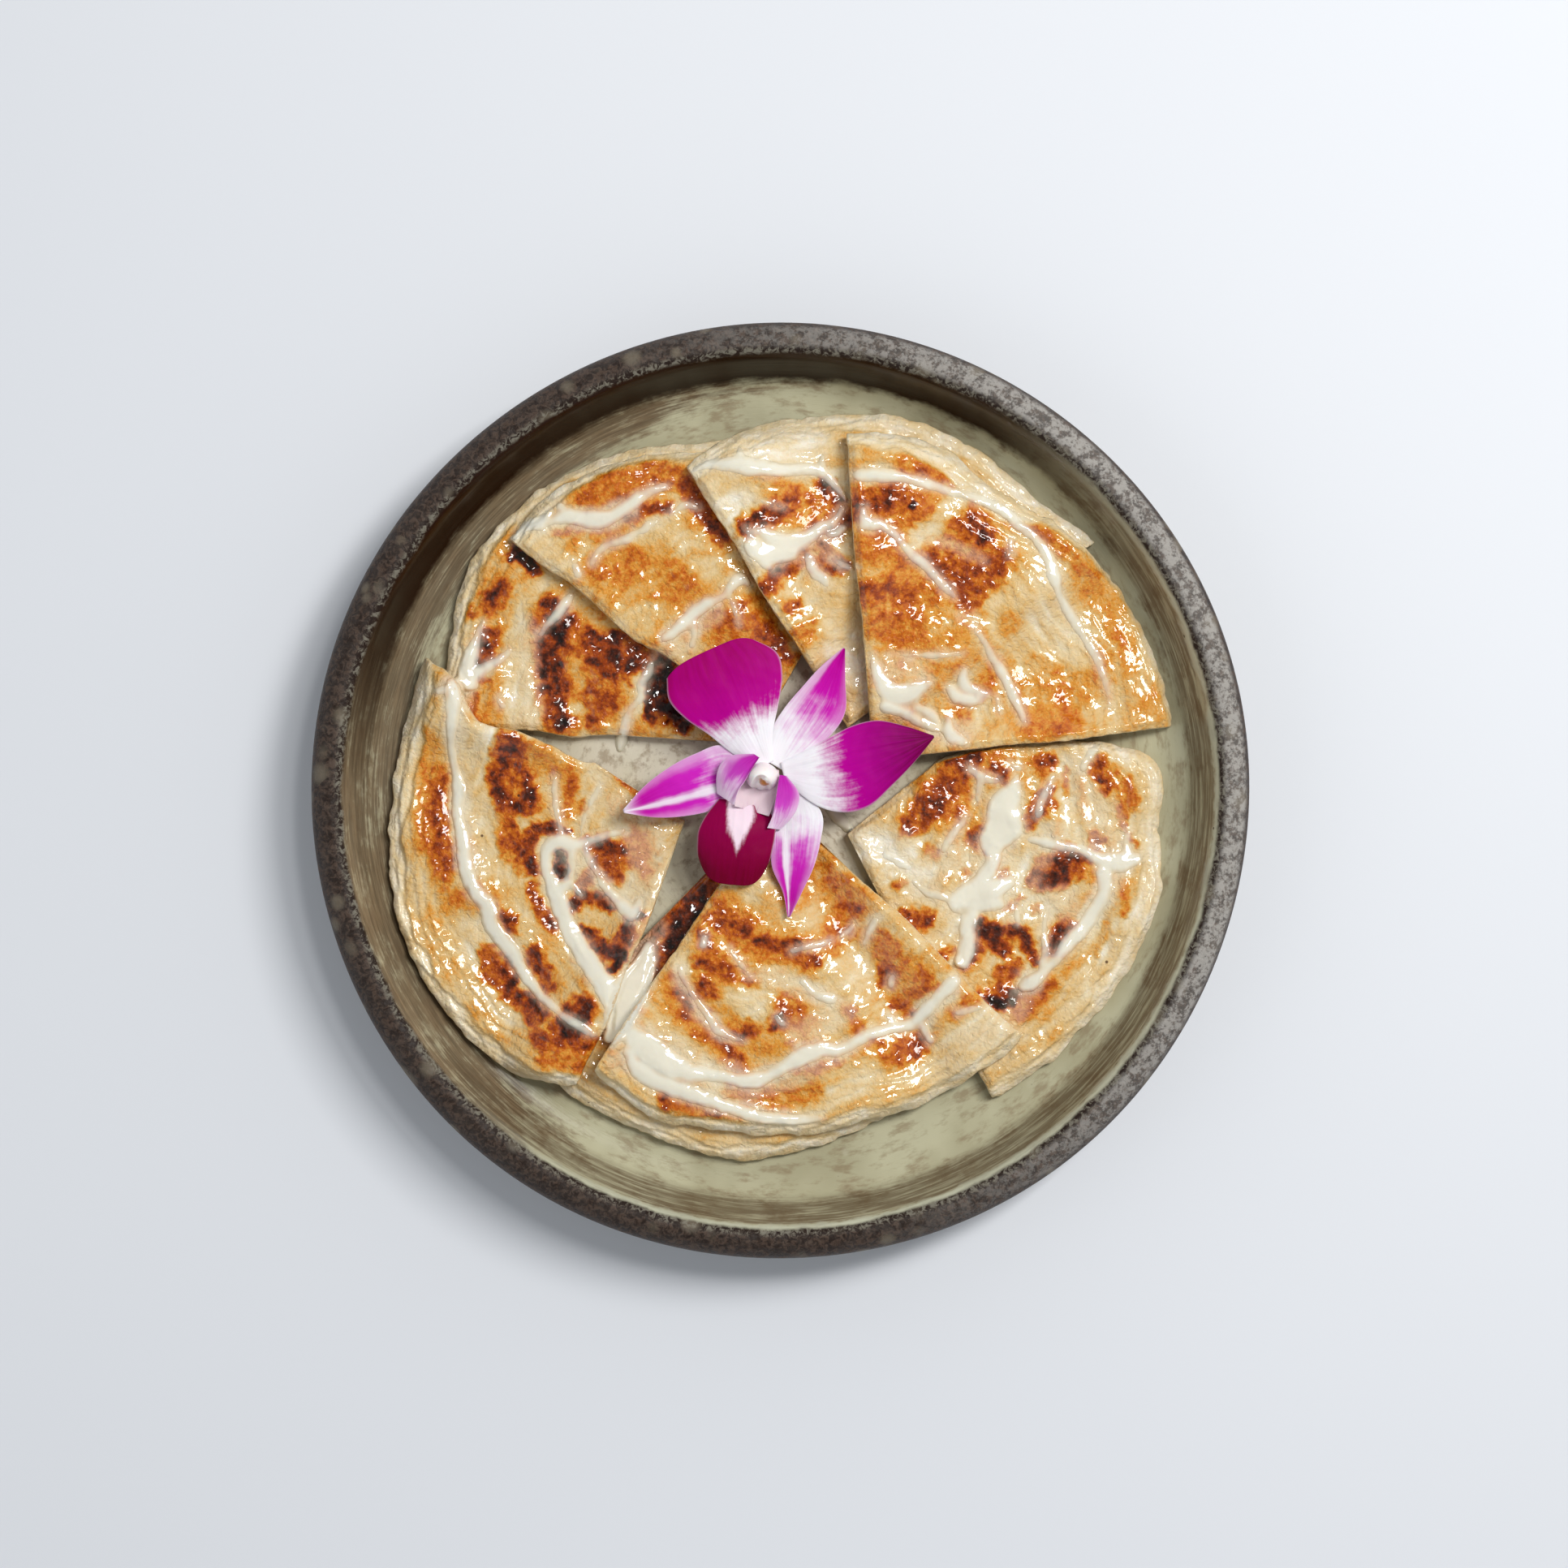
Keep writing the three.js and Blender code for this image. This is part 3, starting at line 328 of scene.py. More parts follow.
        (BROWN, 0.5, [(26, -43.6, 1.7), (25.6, -47, 1.3)]),
        (ORANGE, 0.6, [(32, -43, 3), (36, -47, 3.2), (33, -49, 2.4)]),
        (BROWN, 0.5, [(35.6, -48, 1.4)], [(28.8, -53, 1.4), (33, -54, 1)]),
        (ORANGE, 0.6, [(24, -62, 2.6), (29, -65, 4.2), (35, -62, 3)]),
        (BROWN, 0.5, [(34.6, -61.6, 1.4), (32.6, -64, 1.5)]),
        (ORANGE, 0.6, [(43, -55, 2.4), (46, -52, 2)]),
        (ORANGE, 0.7, [(-12, -73, 2.2), (0, -75.6, 2.8), (8, -73.6, 2.8)], [(-28, -75.6, 2.8),
         (-18, -79.4, 2.4), (-11, -81, 2.2)]),
        (BROWN, 0.5, [(-27.6, -76, 1.6)], [(-17, -79.6, 1.1)]),
        (ORANGE, 0.6, [(3, -68, 1.3), (10, -67, 1.8), (15, -66, 1.2)]),
        (CREAM, 0.6, [(45, -62, 6), (54, -56, 4), (40, -72, 5)]),
    ],
    "roti_north_east": [
        (ORANGE, 0.9, [(26, 63, 9), (40, 60, 12), (34, 50, 10)]),
        (AMBER, 0.8, [(26, 46, 8), (30, 34, 8), (40, 38, 8)]),
        (ORANGE, 0.8, [(30, 78, 1.6), (44, 75, 2.4), (56, 70, 2.6), (66, 62, 2.2), (73, 54, 1.8)]),
        (AMBER, 0.8, [(76, 51, 2.4), (82, 42, 2.2), (87, 32, 1.8)]),
        (GOLD, 0.8, [(85, 22, 5), (90, 16, 5), (76, 20, 4)]),
        (BROWN, 0.6, [(20, 70, 3.4), (28.6, 71.6, 3)], [(36, 66, 3.4), (42, 68, 2.6), (49.1, 62.9, 3)],
         [(38.7, 56.9, 3), (46, 53, 4.6), (54, 56, 3), (46, 47, 3)]),
        (DARK, 0.5, [(49.4, 62, 1.7)]),
        (CHAR, 0.4, [(32.1, 69.9, 1.2)]),
        (BROWN, 0.6, [(20, 48.6, 3), (27, 49.4, 2.6), (34, 46, 2.2)]),
        (ORANGE, 0.6, [(24, 40.6, 4), (33, 38, 3), (30, 43, 3)]),
        (CREAM, 0.8, [(64, 52, 6), (62, 42, 7), (73, 37, 5)]),
        (AMBER, 0.6, [(55.7, 40.9, 3.4)]),
        (AMBER, 0.8, [(60, 17, 5), (71, 22, 4), (78, 27, 3)]),
        (ORANGE, 0.6, [(62, 14.6, 2.4), (72, 16, 2), (70, 25, 2.2)]),
        (ORANGE, 0.7, [(44, 20, 3), (52, 27, 2)]),
        (CREAM, 0.7, [(44, 72, 2.6), (32, 60, 2)]),
    ],
}

# ---- Milk: routes of (x, y, half width) ----

MILK_STROKES = [
    # roti_north_east
    [(18.4, 77, 1.2), (21.5, 77, 1.9), (28, 76.6, 1.5), (34, 75.4, 1.3), (41, 73.6, 1.2), (48, 71.8, 1.3),
     (54.6, 68.6, 1.5), (59.5, 64.6, 1.3), (63.6, 60.6, 1.2), (65.8, 57, 1.6), (67.2, 52.6, 1.8),
     (68.8, 48, 1.2), (72, 42.6, 1.4), (74.6, 38.4, 1.1), (77.2, 34.2, 1.2), (79.2, 30, 1), (80.6, 25, 0.8),
     (81.4, 20.6, 0.7)],
    [(20.2, 68.6, 0.9), (21, 65, 1.9), (24.3, 64.9, 1.3), (28.4, 62.2, 1), (32.2, 57.6, 1.4),
     (34.8, 56, 1.3), (37.6, 53, 1.2), (41.2, 49.2, 1.2), (42.6, 47.6, 0.7)],
    [(22.7, 33, 0.7), (23.4, 30, 1.5), (25, 26.4, 2.2), (28, 23.6, 2.9), (31.6, 23.8, 2.6), (35, 25.6, 1.8),
     (37, 26.6, 0.9)],
    [(26, 20.6, 1.8), (30, 19.4, 1.6), (34.4, 17, 1.3), (38.4, 15.4, 1.3)],
    [(33.4, 20.6, 0.9), (37, 19, 1.4), (38.6, 17, 0.9)],
    [(26, 33.4, 0.5), (32, 33.3, 0.6), (38, 33.2, 0.8), (44.5, 33.6, 0.6)],
    [(45.6, 29.6, 0.9), (45, 26.6, 1.7), (47.6, 24.6, 1.5), (51, 23.6, 1)],
    [(42, 25, 1.5), (44.6, 22.8, 2), (49, 22.4, 1.4)],
    [(47.5, 40, 0.6), (50.4, 36, 0.9), (52.4, 32.6, 1.2), (55, 29, 1.4), (57, 24.4, 1.3), (59.2, 20, 1.3),
     (59.8, 17.4, 0.9)],
    [(53.6, 23, 0.6), (54, 19.4, 0.7)],
    [(41.4, 17.4, 1), (41.6, 14, 1.9), (45, 12.2, 1.4)],
    [(56.4, 61.4, 0.9), (56.6, 58.6, 1)],
    # roti_north
    [(-21, 78.4, 0.8), (-16.9, 79.7, 1.3), (-12.5, 79.5, 1.9), (-8, 79.1, 2.4), (-2, 78.4, 1.9),
     (4.3, 78.6, 1.6), (9, 78.8, 1.7), (12, 76.8, 1.3), (14.4, 74, 1), (16, 71.4, 0.7)],
    [(-10, 83.4, 0.7), (-9.8, 80.6, 1.2)],
    [(10.4, 82.2, 0.6), (10, 79.6, 1.2)],
    [(-8, 63.4, 0.8), (-4, 63, 1.3), (-0.4, 60.8, 2.5), (3.4, 60.8, 2.4), (7, 62.2, 1.8), (10, 64.6, 1.5),
     (13, 66, 1), (15.4, 69.4, 0.7)],
    [(-7, 60, 2.2), (-4.6, 57.6, 2.4), (-1, 58, 2.8), (2.6, 58.6, 2.2)],
    [(-4, 56, 1.6), (-2.6, 55, 1.4)],
    [(11.6, 62.6, 0.8), (14.4, 63.4, 1), (15.8, 64.6, 0.7)],
    [(-6.6, 71.2, 0.4), (-3, 70.2, 0.5), (0.6, 69, 0.5)],
    [(7, 57, 1.4), (8, 54, 1.7), (10.6, 52.2, 1.5), (11.6, 50.6, 0.8)],
    [(12.6, 57, 0.5), (15.6, 55, 0.9), (18, 54.4, 0.6)],
    # roti_north_west
    [(-65.4, 62.2, 0.9), (-62.8, 65.4, 1.6), (-58.6, 65.6, 1.7), (-56.8, 68.6, 0.9)],
    [(-56.4, 66, 1), (-52, 67.4, 2), (-46.4, 66.4, 2.4), (-42, 67.2, 2), (-37.6, 69.6, 2), (-34, 72.2, 1.4),
     (-30.6, 74, 1), (-28, 74.8, 0.7)],
    [(-54.4, 70.2, 0.7), (-53, 68.6, 1.2)],
    [(-46.4, 56, 0.8), (-44.6, 58.6, 1), (-42, 60.4, 1), (-37.4, 61.8, 1.2), (-35.6, 63.4, 0.7)],
    [(-34, 63.6, 0.8), (-32.4, 65, 1), (-30, 66.4, 0.6)],
    [(-27.6, 67.4, 0.6), (-25.4, 68.8, 0.9), (-23.4, 70.2, 1), (-20.4, 69.6, 0.6)],
    [(-28.6, 37.6, 0.9), (-26.4, 38.6, 1.4), (-22, 43, 1.9), (-18, 46, 1.5), (-14.4, 47.4, 0.9),
     (-12.4, 49.6, 1.2), (-10, 52.2, 1.7), (-7.8, 50.8, 0.8)],
    [(-21.6, 43, 1.2), (-21, 39, 0.9), (-21.8, 35.6, 0.8)],
    [(-12.4, 47.6, 0.5), (-11, 44.4, 0.6), (-10.2, 40.6, 0.5)],
    [(-50.4, 55, 0.9), (-49.6, 53.2, 1)],
    # roti_west
    [(-51.8, 48.4, 0.8), (-52.8, 46.4, 1.4), (-55, 43.6, 1.2), (-57.6, 41, 0.9), (-59.4, 38.6, 0.8)],
    [(-31.6, 31.6, 0.7), (-32.8, 28.6, 1.1), (-34.4, 26.4, 1.3), (-34, 23.4, 1), (-36.6, 20.6, 0.8),
     (-38, 17.4, 1.3), (-38.4, 14.6, 1)],
    [(-73.4, 41.6, 0.7), (-74.6, 38.6, 1), (-76, 34.4, 1.8), (-77.4, 29.6, 2.6), (-76.4, 26.4, 2)],
    [(-66.6, 34.8, 0.6), (-69.4, 32.4, 1), (-72.6, 30.4, 1.6), (-76, 28.6, 2)],
    [(-80.4, 26.6, 1.6), (-80, 22, 2), (-80.6, 17, 1.6), (-81.2, 12.6, 1.1)],
    [(-84.4, 24.6, 0.8), (-82, 25, 1.2)],
    [(-69.4, 22.8, 0.9), (-68.6, 21, 1)],
    # roti_south_west
    [(-81.4, 14, 0.8), (-81, 9, 1.1), (-80, 4, 1.3), (-79.4, 0, 2.2), (-79.7, -5, 1.5), (-78.9, -10, 1.7),
     (-78, -15, 2.1), (-77.3, -20, 2), (-75.2, -24.8, 2), (-72.3, -28.2, 2.1), (-71.6, -32.4, 2.1),
     (-68.8, -36.6, 2.1), (-65.7, -40.6, 2.1), (-63.6, -44.8, 1.7), (-60.6, -49, 1.4), (-57.4, -52, 1.3),
     (-55, -53.6, 0.9)],
    [(-55, -54.4, 0.7), (-51, -56.6, 1.1), (-47.6, -58.6, 1.2), (-45.6, -60, 0.7)],
    [(-55.6, 3.4, 0.7), (-55.6, 0, 0.9), (-55.4, -4, 0.8), (-54.2, -9.6, 0.7)],
    [(-44.4, 1.4, 0.6), (-46.8, -3, 0.6), (-49, -8, 0.7), (-48.8, -11.4, 0.6)],
    [(-38.6, -9.8, 0.5), (-42.6, -10.8, 0.9), (-47, -12.2, 1.3), (-51, -13.4, 2), (-54.6, -12.4, 1.9),
     (-57.6, -14.4, 1.9), (-57.8, -19, 1.6), (-56.4, -23, 2), (-54.6, -27.6, 2.4), (-52.6, -33, 2.4),
     (-49.4, -39, 2.6), (-46, -44, 2.6), (-42.6, -48.4, 2.8), (-40, -53, 3)],
    [(-51.4, -14, 1.2), (-51.6, -19.6, 1.1), (-52.4, -22.6, 1.3), (-55.4, -24.6, 1.4)],
    [(-51, -23.6, 0.9), (-49.2, -25.8, 0.7)],
    [(-48.4, -14.6, 0.9), (-46, -19, 1), (-43.4, -23.4, 1.2), (-39.6, -27.6, 1.7), (-36.6, -30.4, 2),
     (-34.8, -27.6, 1.2)],
    [(-32.6, -38.6, 1.8), (-33.6, -43, 3.2), (-36.6, -49, 4.6), (-38.6, -54, 4.4), (-40.4, -58.6, 3),
     (-42.6, -61.4, 1.2)],
    # roti_south
    [(-36, -59.6, 2.4), (-32.6, -63.4, 4), (-27.6, -67, 3.6), (-22, -69.2, 2.4)],
    [(-37, -64, 1.6), (-35, -68, 2.4), (-29.6, -71.4, 2.6), (-24, -73.4, 2.4), (-18.4, -75.6, 1.9),
     (-12.4, -77.6, 1.7), (-6, -79.6, 1.6), (-1, -80.6, 1.8), (5, -80.8, 1.3), (10, -80.4, 0.7)],
    [(-22, -69, 2.2), (-16, -69.6, 1.7), (-11, -70.8, 1.7), (-6, -71, 2.2), (-2.4, -69.6, 1.7),
     (1.6, -67.4, 1.7), (5.6, -65, 2.6), (10.4, -63.2, 1.9), (14.6, -63.6, 1.7), (18.4, -61.4, 1.5),
     (22, -59.8, 1.6), (27, -58.6, 1.4), (32, -57.6, 1.5), (35, -54.6, 1.9), (38.4, -51, 1.7),
     (41, -48.6, 1.9), (42.8, -46.4, 1.6)],
    [(35, -58, 1.3), (37, -61.6, 0.9)],
    [(-24.6, -43.6, 1), (-23, -47.6, 0.8), (-20.4, -51.6, 0.9), (-18, -55, 1.2), (-15.6, -58.4, 1.2),
     (-12, -60.6, 0.9), (-8.6, -61.4, 0.6)],
    [(3, -39.4, 0.7), (6, -38.4, 0.9), (10.6, -37.4, 0.8), (12.6, -36.6, 0.5)],
    [(15, -36, 0.6), (17.6, -34, 1), (18.2, -33, 0.6)],
    [(23.2, -31.6, 0.9), (22, -34, 1.2), (20.6, -38, 0.8)],
    [(5.6, -46.8, 0.8), (8.6, -49.6, 1), (12.6, -51, 1.5)],
    [(27, -55.6, 1), (28.4, -57.6, 1)],
    [(27.4, -45.8, 0.9), (27.2, -47.6, 1)],
    [(-12.4, -38.8, 0.5), (-10, -42, 0.7), (-7.4, -45.6, 0.6)],
    [(-19, -37.8, 0.9), (-18.6, -36, 0.8)],
    [(-1, -55.4, 0.9), (0.6, -57, 0.8)],
    [(43.4, -54.4, 0.8), (49.4, -53, 0.6)],
    # roti_east
    [(53.6, -13, 1.6), (52.6, -18, 1.9), (49, -22.6, 2.2), (46, -26, 2)],
    [(41, -26.4, 1.2), (36, -25, 1), (33, -22.4, 0.7)],
    [(58.2, 3.4, 0.9), (57.4, 0, 2.2), (55, -4, 4), (55.4, -8.4, 4.6), (52.8, -12, 3.8), (51.8, -15, 1.8)],
    [(56.6, -22.4, 1.6), (52.6, -24.4, 3), (47.6, -25.6, 3.6), (43.6, -27.4, 2.6)],
    [(53.6, -27.4, 2), (48, -28.6, 2)],
    [(47.4, -30.6, 2), (46, -34, 2.1), (46.2, -38, 2.3), (44.8, -42, 2)],
    [(62, -12, 1), (66, -12.8, 1.4), (71, -13.8, 1.3), (75.6, -15, 1.4), (79, -17, 2), (83.6, -17.6, 2.8),
     (88, -16.6, 1.6)],
    [(86, -10, 0.7), (85.4, -13.6, 1), (86, -15.6, 1.4)],
    [(80, -20, 2.2), (80, -25, 1.8), (77.6, -29, 1.9), (75.4, -33, 2.1), (71.4, -37.4, 1.8), (68, -41.4, 1.5),
     (64.4, -45, 1.3), (62, -47.2, 2.2), (59.8, -48.6, 1.4)],
    [(67.4, 3.4, 0.6), (66, 0.6, 0.9), (64.2, -2.6, 1), (63.6, -6, 0.8)],
    [(78.6, 11.6, 0.8), (76, 8, 1.2), (74.6, 5.4, 1)],
    [(46.6, 5.6, 0.9), (50, 3.4, 1.3), (53.6, 2.4, 0.8)],
    [(49.6, 2.6, 0.9), (48.8, -0.6, 0.8), (48.6, -2.6, 0.6)],
    [(56.6, 6.6, 0.8), (59, 5.6, 0.8)],
    [(46, -6, 0.8), (44, -9, 1.1), (42, -11.6, 1), (40, -15, 0.8)],
    [(58.4, -28.6, 0.8), (58.6, -33, 0.7)],
    [(66, -28.6, 0.6), (65.2, -34, 0.8), (65.4, -40, 1), (64.6, -42.6, 1)],
    [(26, -15.6, 1), (29, -17.4, 1.3), (31.4, -18.6, 0.9)],
    # on the plate's floor, between roti_west and roti_south_west, and by roti_east's point
    [(-38.6, 15.6, 1), (-39.4, 12.6, 1.7), (-40, 10.4, 1.1)],
    [(12, -4.6, 1.2), (14.4, -6.4, 1.9), (16.8, -9, 1.3)],
]
# The thin see-through film beside the thick milk.
FILM_STROKES = [
    [(33, 62.5, 1), (41, 60.6, 1.1), (45, 59, 1), (50, 56.5, 0.8)],
    [(26, 31, 2), (34, 29, 2.4)],
    [(38, 14, 3), (46, 15, 2.6)],
    [(44, 42.8, 1), (47, 42.4, 1.4)],
    [(10, 61, 3), (13, 58, 2.6), (15, 60, 2)],
    [(-8, 60, 2.4), (-1, 56, 2.8)],
    [(-62.3, 41, 2), (-61.8, 29, 2.4), (-61.3, 17, 2.2)],
    [(-38, 68, 3), (-48, 66, 3), (-57, 66, 3)],
    [(-26, 37, 3.4), (-16, 44, 2.4)],
    [(-30.4, 34, 1.2), (-28.6, 33, 1.4)],
    [(-79, 27, 3.4), (-80, 12, 2.6)],
    [(-79, -4, 3), (-77, -18, 3)],
    [(-52, -16, 3), (-44, -24, 2.4)],
    [(-40, -4, 3), (-34, -12, 4.4), (-33, -20, 4), (-36, -28, 4.4)],
    [(-32, -34, 4), (-40, -60, 3)],
    [(-40, -66, 2.4), (-30, -66, 4), (-22, -70, 3)],
    [(16, -54, 3), (4, -60, 3)],
    [(-33, -61, 4.4), (-24, -67, 5), (-13, -71, 4.4), (-3, -71, 3.6), (7, -67, 3.4), (16, -64, 2.6)],
    [(-20, -75, 3), (-8, -79, 2.6), (4, -81, 2)],
    [(-26, -44, 1.4), (-22, -52, 1.8), (-14, -60, 1.6)],
    [(-4, -45, 2), (4, -48, 2.4), (12, -52, 2)],
    [(36, -55, 3), (42, -49, 2.4)],
    [(34, -22, 4), (44, -16, 4), (53, -20, 3), (62, -27, 4), (70, -28, 4)],
    [(30, -14, 3.4), (22, -12, 3.4)],
    [(82.8, -3, 0.8), (83.6, -8, 0.8), (85, -12, 0.8)],
    [(72, 6, 3), (82, -18, 3.4), (76, -31, 2.6)],
    [(56, -8, 5), (50, -22, 4), (45, -30, 4)],
    [(68, -10, 2.4), (60, -22, 3.4), (56, -30, 2.4)],
    [(61, -47, 3), (56, -57, 2.6), (47, -60, 3)],
]


# ---- Curves, fields and noise ----

def along(values, share):
    """Smooth curve through evenly spaced values, read at shares of its length from 0 to 1."""
    values = np.asarray(values, float)
    place = np.clip(share, 0, 1) * (len(values) - 1)
    step = np.minimum(np.floor(place).astype(int), len(values) - 2)
    t = place - step
    padded = np.concatenate([[2 * values[0] - values[1]], values, [2 * values[-1] - values[-2]]])
    a, b, c, d = (padded[step + k] for k in range(4))
    return b + 0.5 * t * (c - a + t * (2 * a - 5 * b + 4 * c - d + t * (3 * (b - c) + d - a)))


def smooth(value, low, high):
    """0 at `low`, 1 at `high`, eased between them; `low` may be the greater."""
    share = np.clip((value - low) / (high - low), 0, 1)
    return share * share * (3 - 2 * share)


def mix(a, b, share):
    """From `a` at a share of 0 to `b` at a share of 1."""
    return a + (b - a) * share


NOISE_CELLS = 128
NOISE_SHIFT = 57.3, 31.7  # keeps the plate's middle away from the corner of a cell
NOISE_GAIN = 1.5  # brings the noise to about -1 to 1


def eased(share):
    return share * share * share * (share * (share * 6 - 15) + 10)


def noise(x, y, size, seed, octaves=1):
    """Gradient noise of about -1 to 1, whose lumps are `size` across."""
    total = 0
    strength = 1.0
    for octave in range(octaves):
        dice = np.random.default_rng(seed + 101 * octave)
        turns = dice.uniform(0, 2 * np.pi, (NOISE_CELLS, NOISE_CELLS))
        u, v = x / size + NOISE_SHIFT[0], y / size + NOISE_SHIFT[1]
        i, j = np.floor(u).astype(int), np.floor(v).astype(int)
        fu, fv = u - i, v - j

        def corner(di, dj):
            turn = turns[(i + di) % NOISE_CELLS, (j + dj) % NOISE_CELLS]
            return np.cos(turn) * (fu - di) + np.sin(turn) * (fv - dj)

        low = mix(corner(0, 0), corner(1, 0), eased(fu))
        high = mix(corner(0, 1), corner(1, 1), eased(fu))
        total = total + strength * NOISE_GAIN * mix(low, high, eased(fv))
        size, strength = size / 2, strength / 2
    return total


def blurred(field, reach):
    """A grid smoothed by three passes of a box of `reach` cells on each side."""
    for _ in range(3):
        for axis in (0, 1):
            padded = np.pad(field, [(reach + 1, reach) if a == axis else (0, 0) for a in (0, 1)], "edge")
            running = np.cumsum(padded, axis=axis)
            size = 2 * reach + 1
            ahead = np.take(running, range(size, running.shape[axis]), axis)
            behind = np.take(running, range(running.shape[axis] - size), axis)
            field = (ahead - behind) / size
    return field


class Grid:
    """A square grid of heights over the plate, read between its points."""

    def __init__(self, cell, values=None):
        self.cell = cell
        self.side = int(round(2 * PLATE_RADIUS / cell)) + 1
        self.values = np.full((self.side, self.side), FLOOR_LEVEL) if values is None else values

    def points(self):
        steps = np.arange(self.side) * self.cell - PLATE_RADIUS
        return np.meshgrid(steps, steps)

    def at(self, x, y):
        u = np.clip((x + PLATE_RADIUS) / self.cell, 0, self.side - 1.001)
        v = np.clip((y + PLATE_RADIUS) / self.cell, 0, self.side - 1.001)
        i, j = np.floor(u).astype(int), np.floor(v).astype(int)
        rows = self.values
        low = mix(rows[j, i], rows[j, i + 1], u - i)
        high = mix(rows[j + 1, i], rows[j + 1, i + 1], u - i)
        return mix(low, high, v - j)


def windowed(values, reach, fold):
    """Folds each row and then each column over a window of `reach` cells on each side."""
    for axis in (1, 0):
        pad = [(reach, reach) if a == axis else (0, 0) for a in (0, 1)]
        padded = np.pad(values, pad, "edge")
        size = values.shape[axis]
        shifted = [np.take(padded, range(d, d + size), axis) for d in range(2 * reach + 1)]
        values = fold(shifted)
    return values


def draped(grid, reach):
    """The blanket that a limp sheet makes over a grid: the highest point near by, then smoothed."""
    half = int(round(reach / 2))
    values = windowed(grid.values, reach, lambda rows: np.max(rows, axis=0))
    for _ in range(2):
        values = windowed(values, half, lambda rows: np.mean(rows, axis=0))
    return Grid(grid.cell, values)


def plate_inside(radius):
    """Height of the plate's inside at each distance from its middle."""
    return np.interp(radius, *zip(*PLATE_INSIDE))


FAR_OUTSIDE = -99.0


def route_depth(route, x, y):
    """How far points lie inside a stroke of (x, y, radius) stations, and the radius next to them."""
    best = np.full(np.shape(x), FAR_OUTSIDE)
    width = np.zeros(np.shape(x))
    stations = route if len(route) > 1 else route * 2
    for (x0, y0, r0), (x1, y1, r1) in zip(stations, stations[1:]):
        dx, dy = x1 - x0, y1 - y0
        share = np.clip(((x - x0) * dx + (y - y0) * dy) / max(dx * dx + dy * dy, 1e-6), 0, 1)
        radius = mix(r0, r1, share)
        depth = radius - np.hypot(x - x0 - dx * share, y - y0 - dy * share)
        nearer = depth > best
        best = np.where(nearer, depth, best)
        width = np.where(nearer, radius, width)
    return best, width


def rounded_route(route, step=1.6):
    """A stroke with more stations, on a smooth curve through the ones given."""
    if len(route) < 3:
        return route
    stations = np.asarray(route, float)
    lengths = np.hypot(*np.diff(stations[:, :2], axis=0).T)
    count = max(len(route), int(lengths.sum() / step))
    at = np.concatenate([[0], np.cumsum(lengths)]) / lengths.sum()
    even = np.interp(np.linspace(0, 1, count), at, np.linspace(0, 1, len(route)))
    return [tuple(row) for row in np.stack([along(stations[:, k], even) for k in range(3)], axis=1)]


def outward_of(loop):
    """Unit vectors that point out of an anticlockwise loop of plan points."""
    run = np.roll(loop, -1, 0) - np.roll(loop, 1, 0)
    return np.stack([run[:, 1], -run[:, 0]], 1) / np.linalg.norm(run, axis=1)[:, None]


# ---- Dough ----

LEAST_CRUST = 1.2  # height of dough that is left even in a deep fold
LEAF_WIDTH = 2.7  # of the torn leaves near the rim


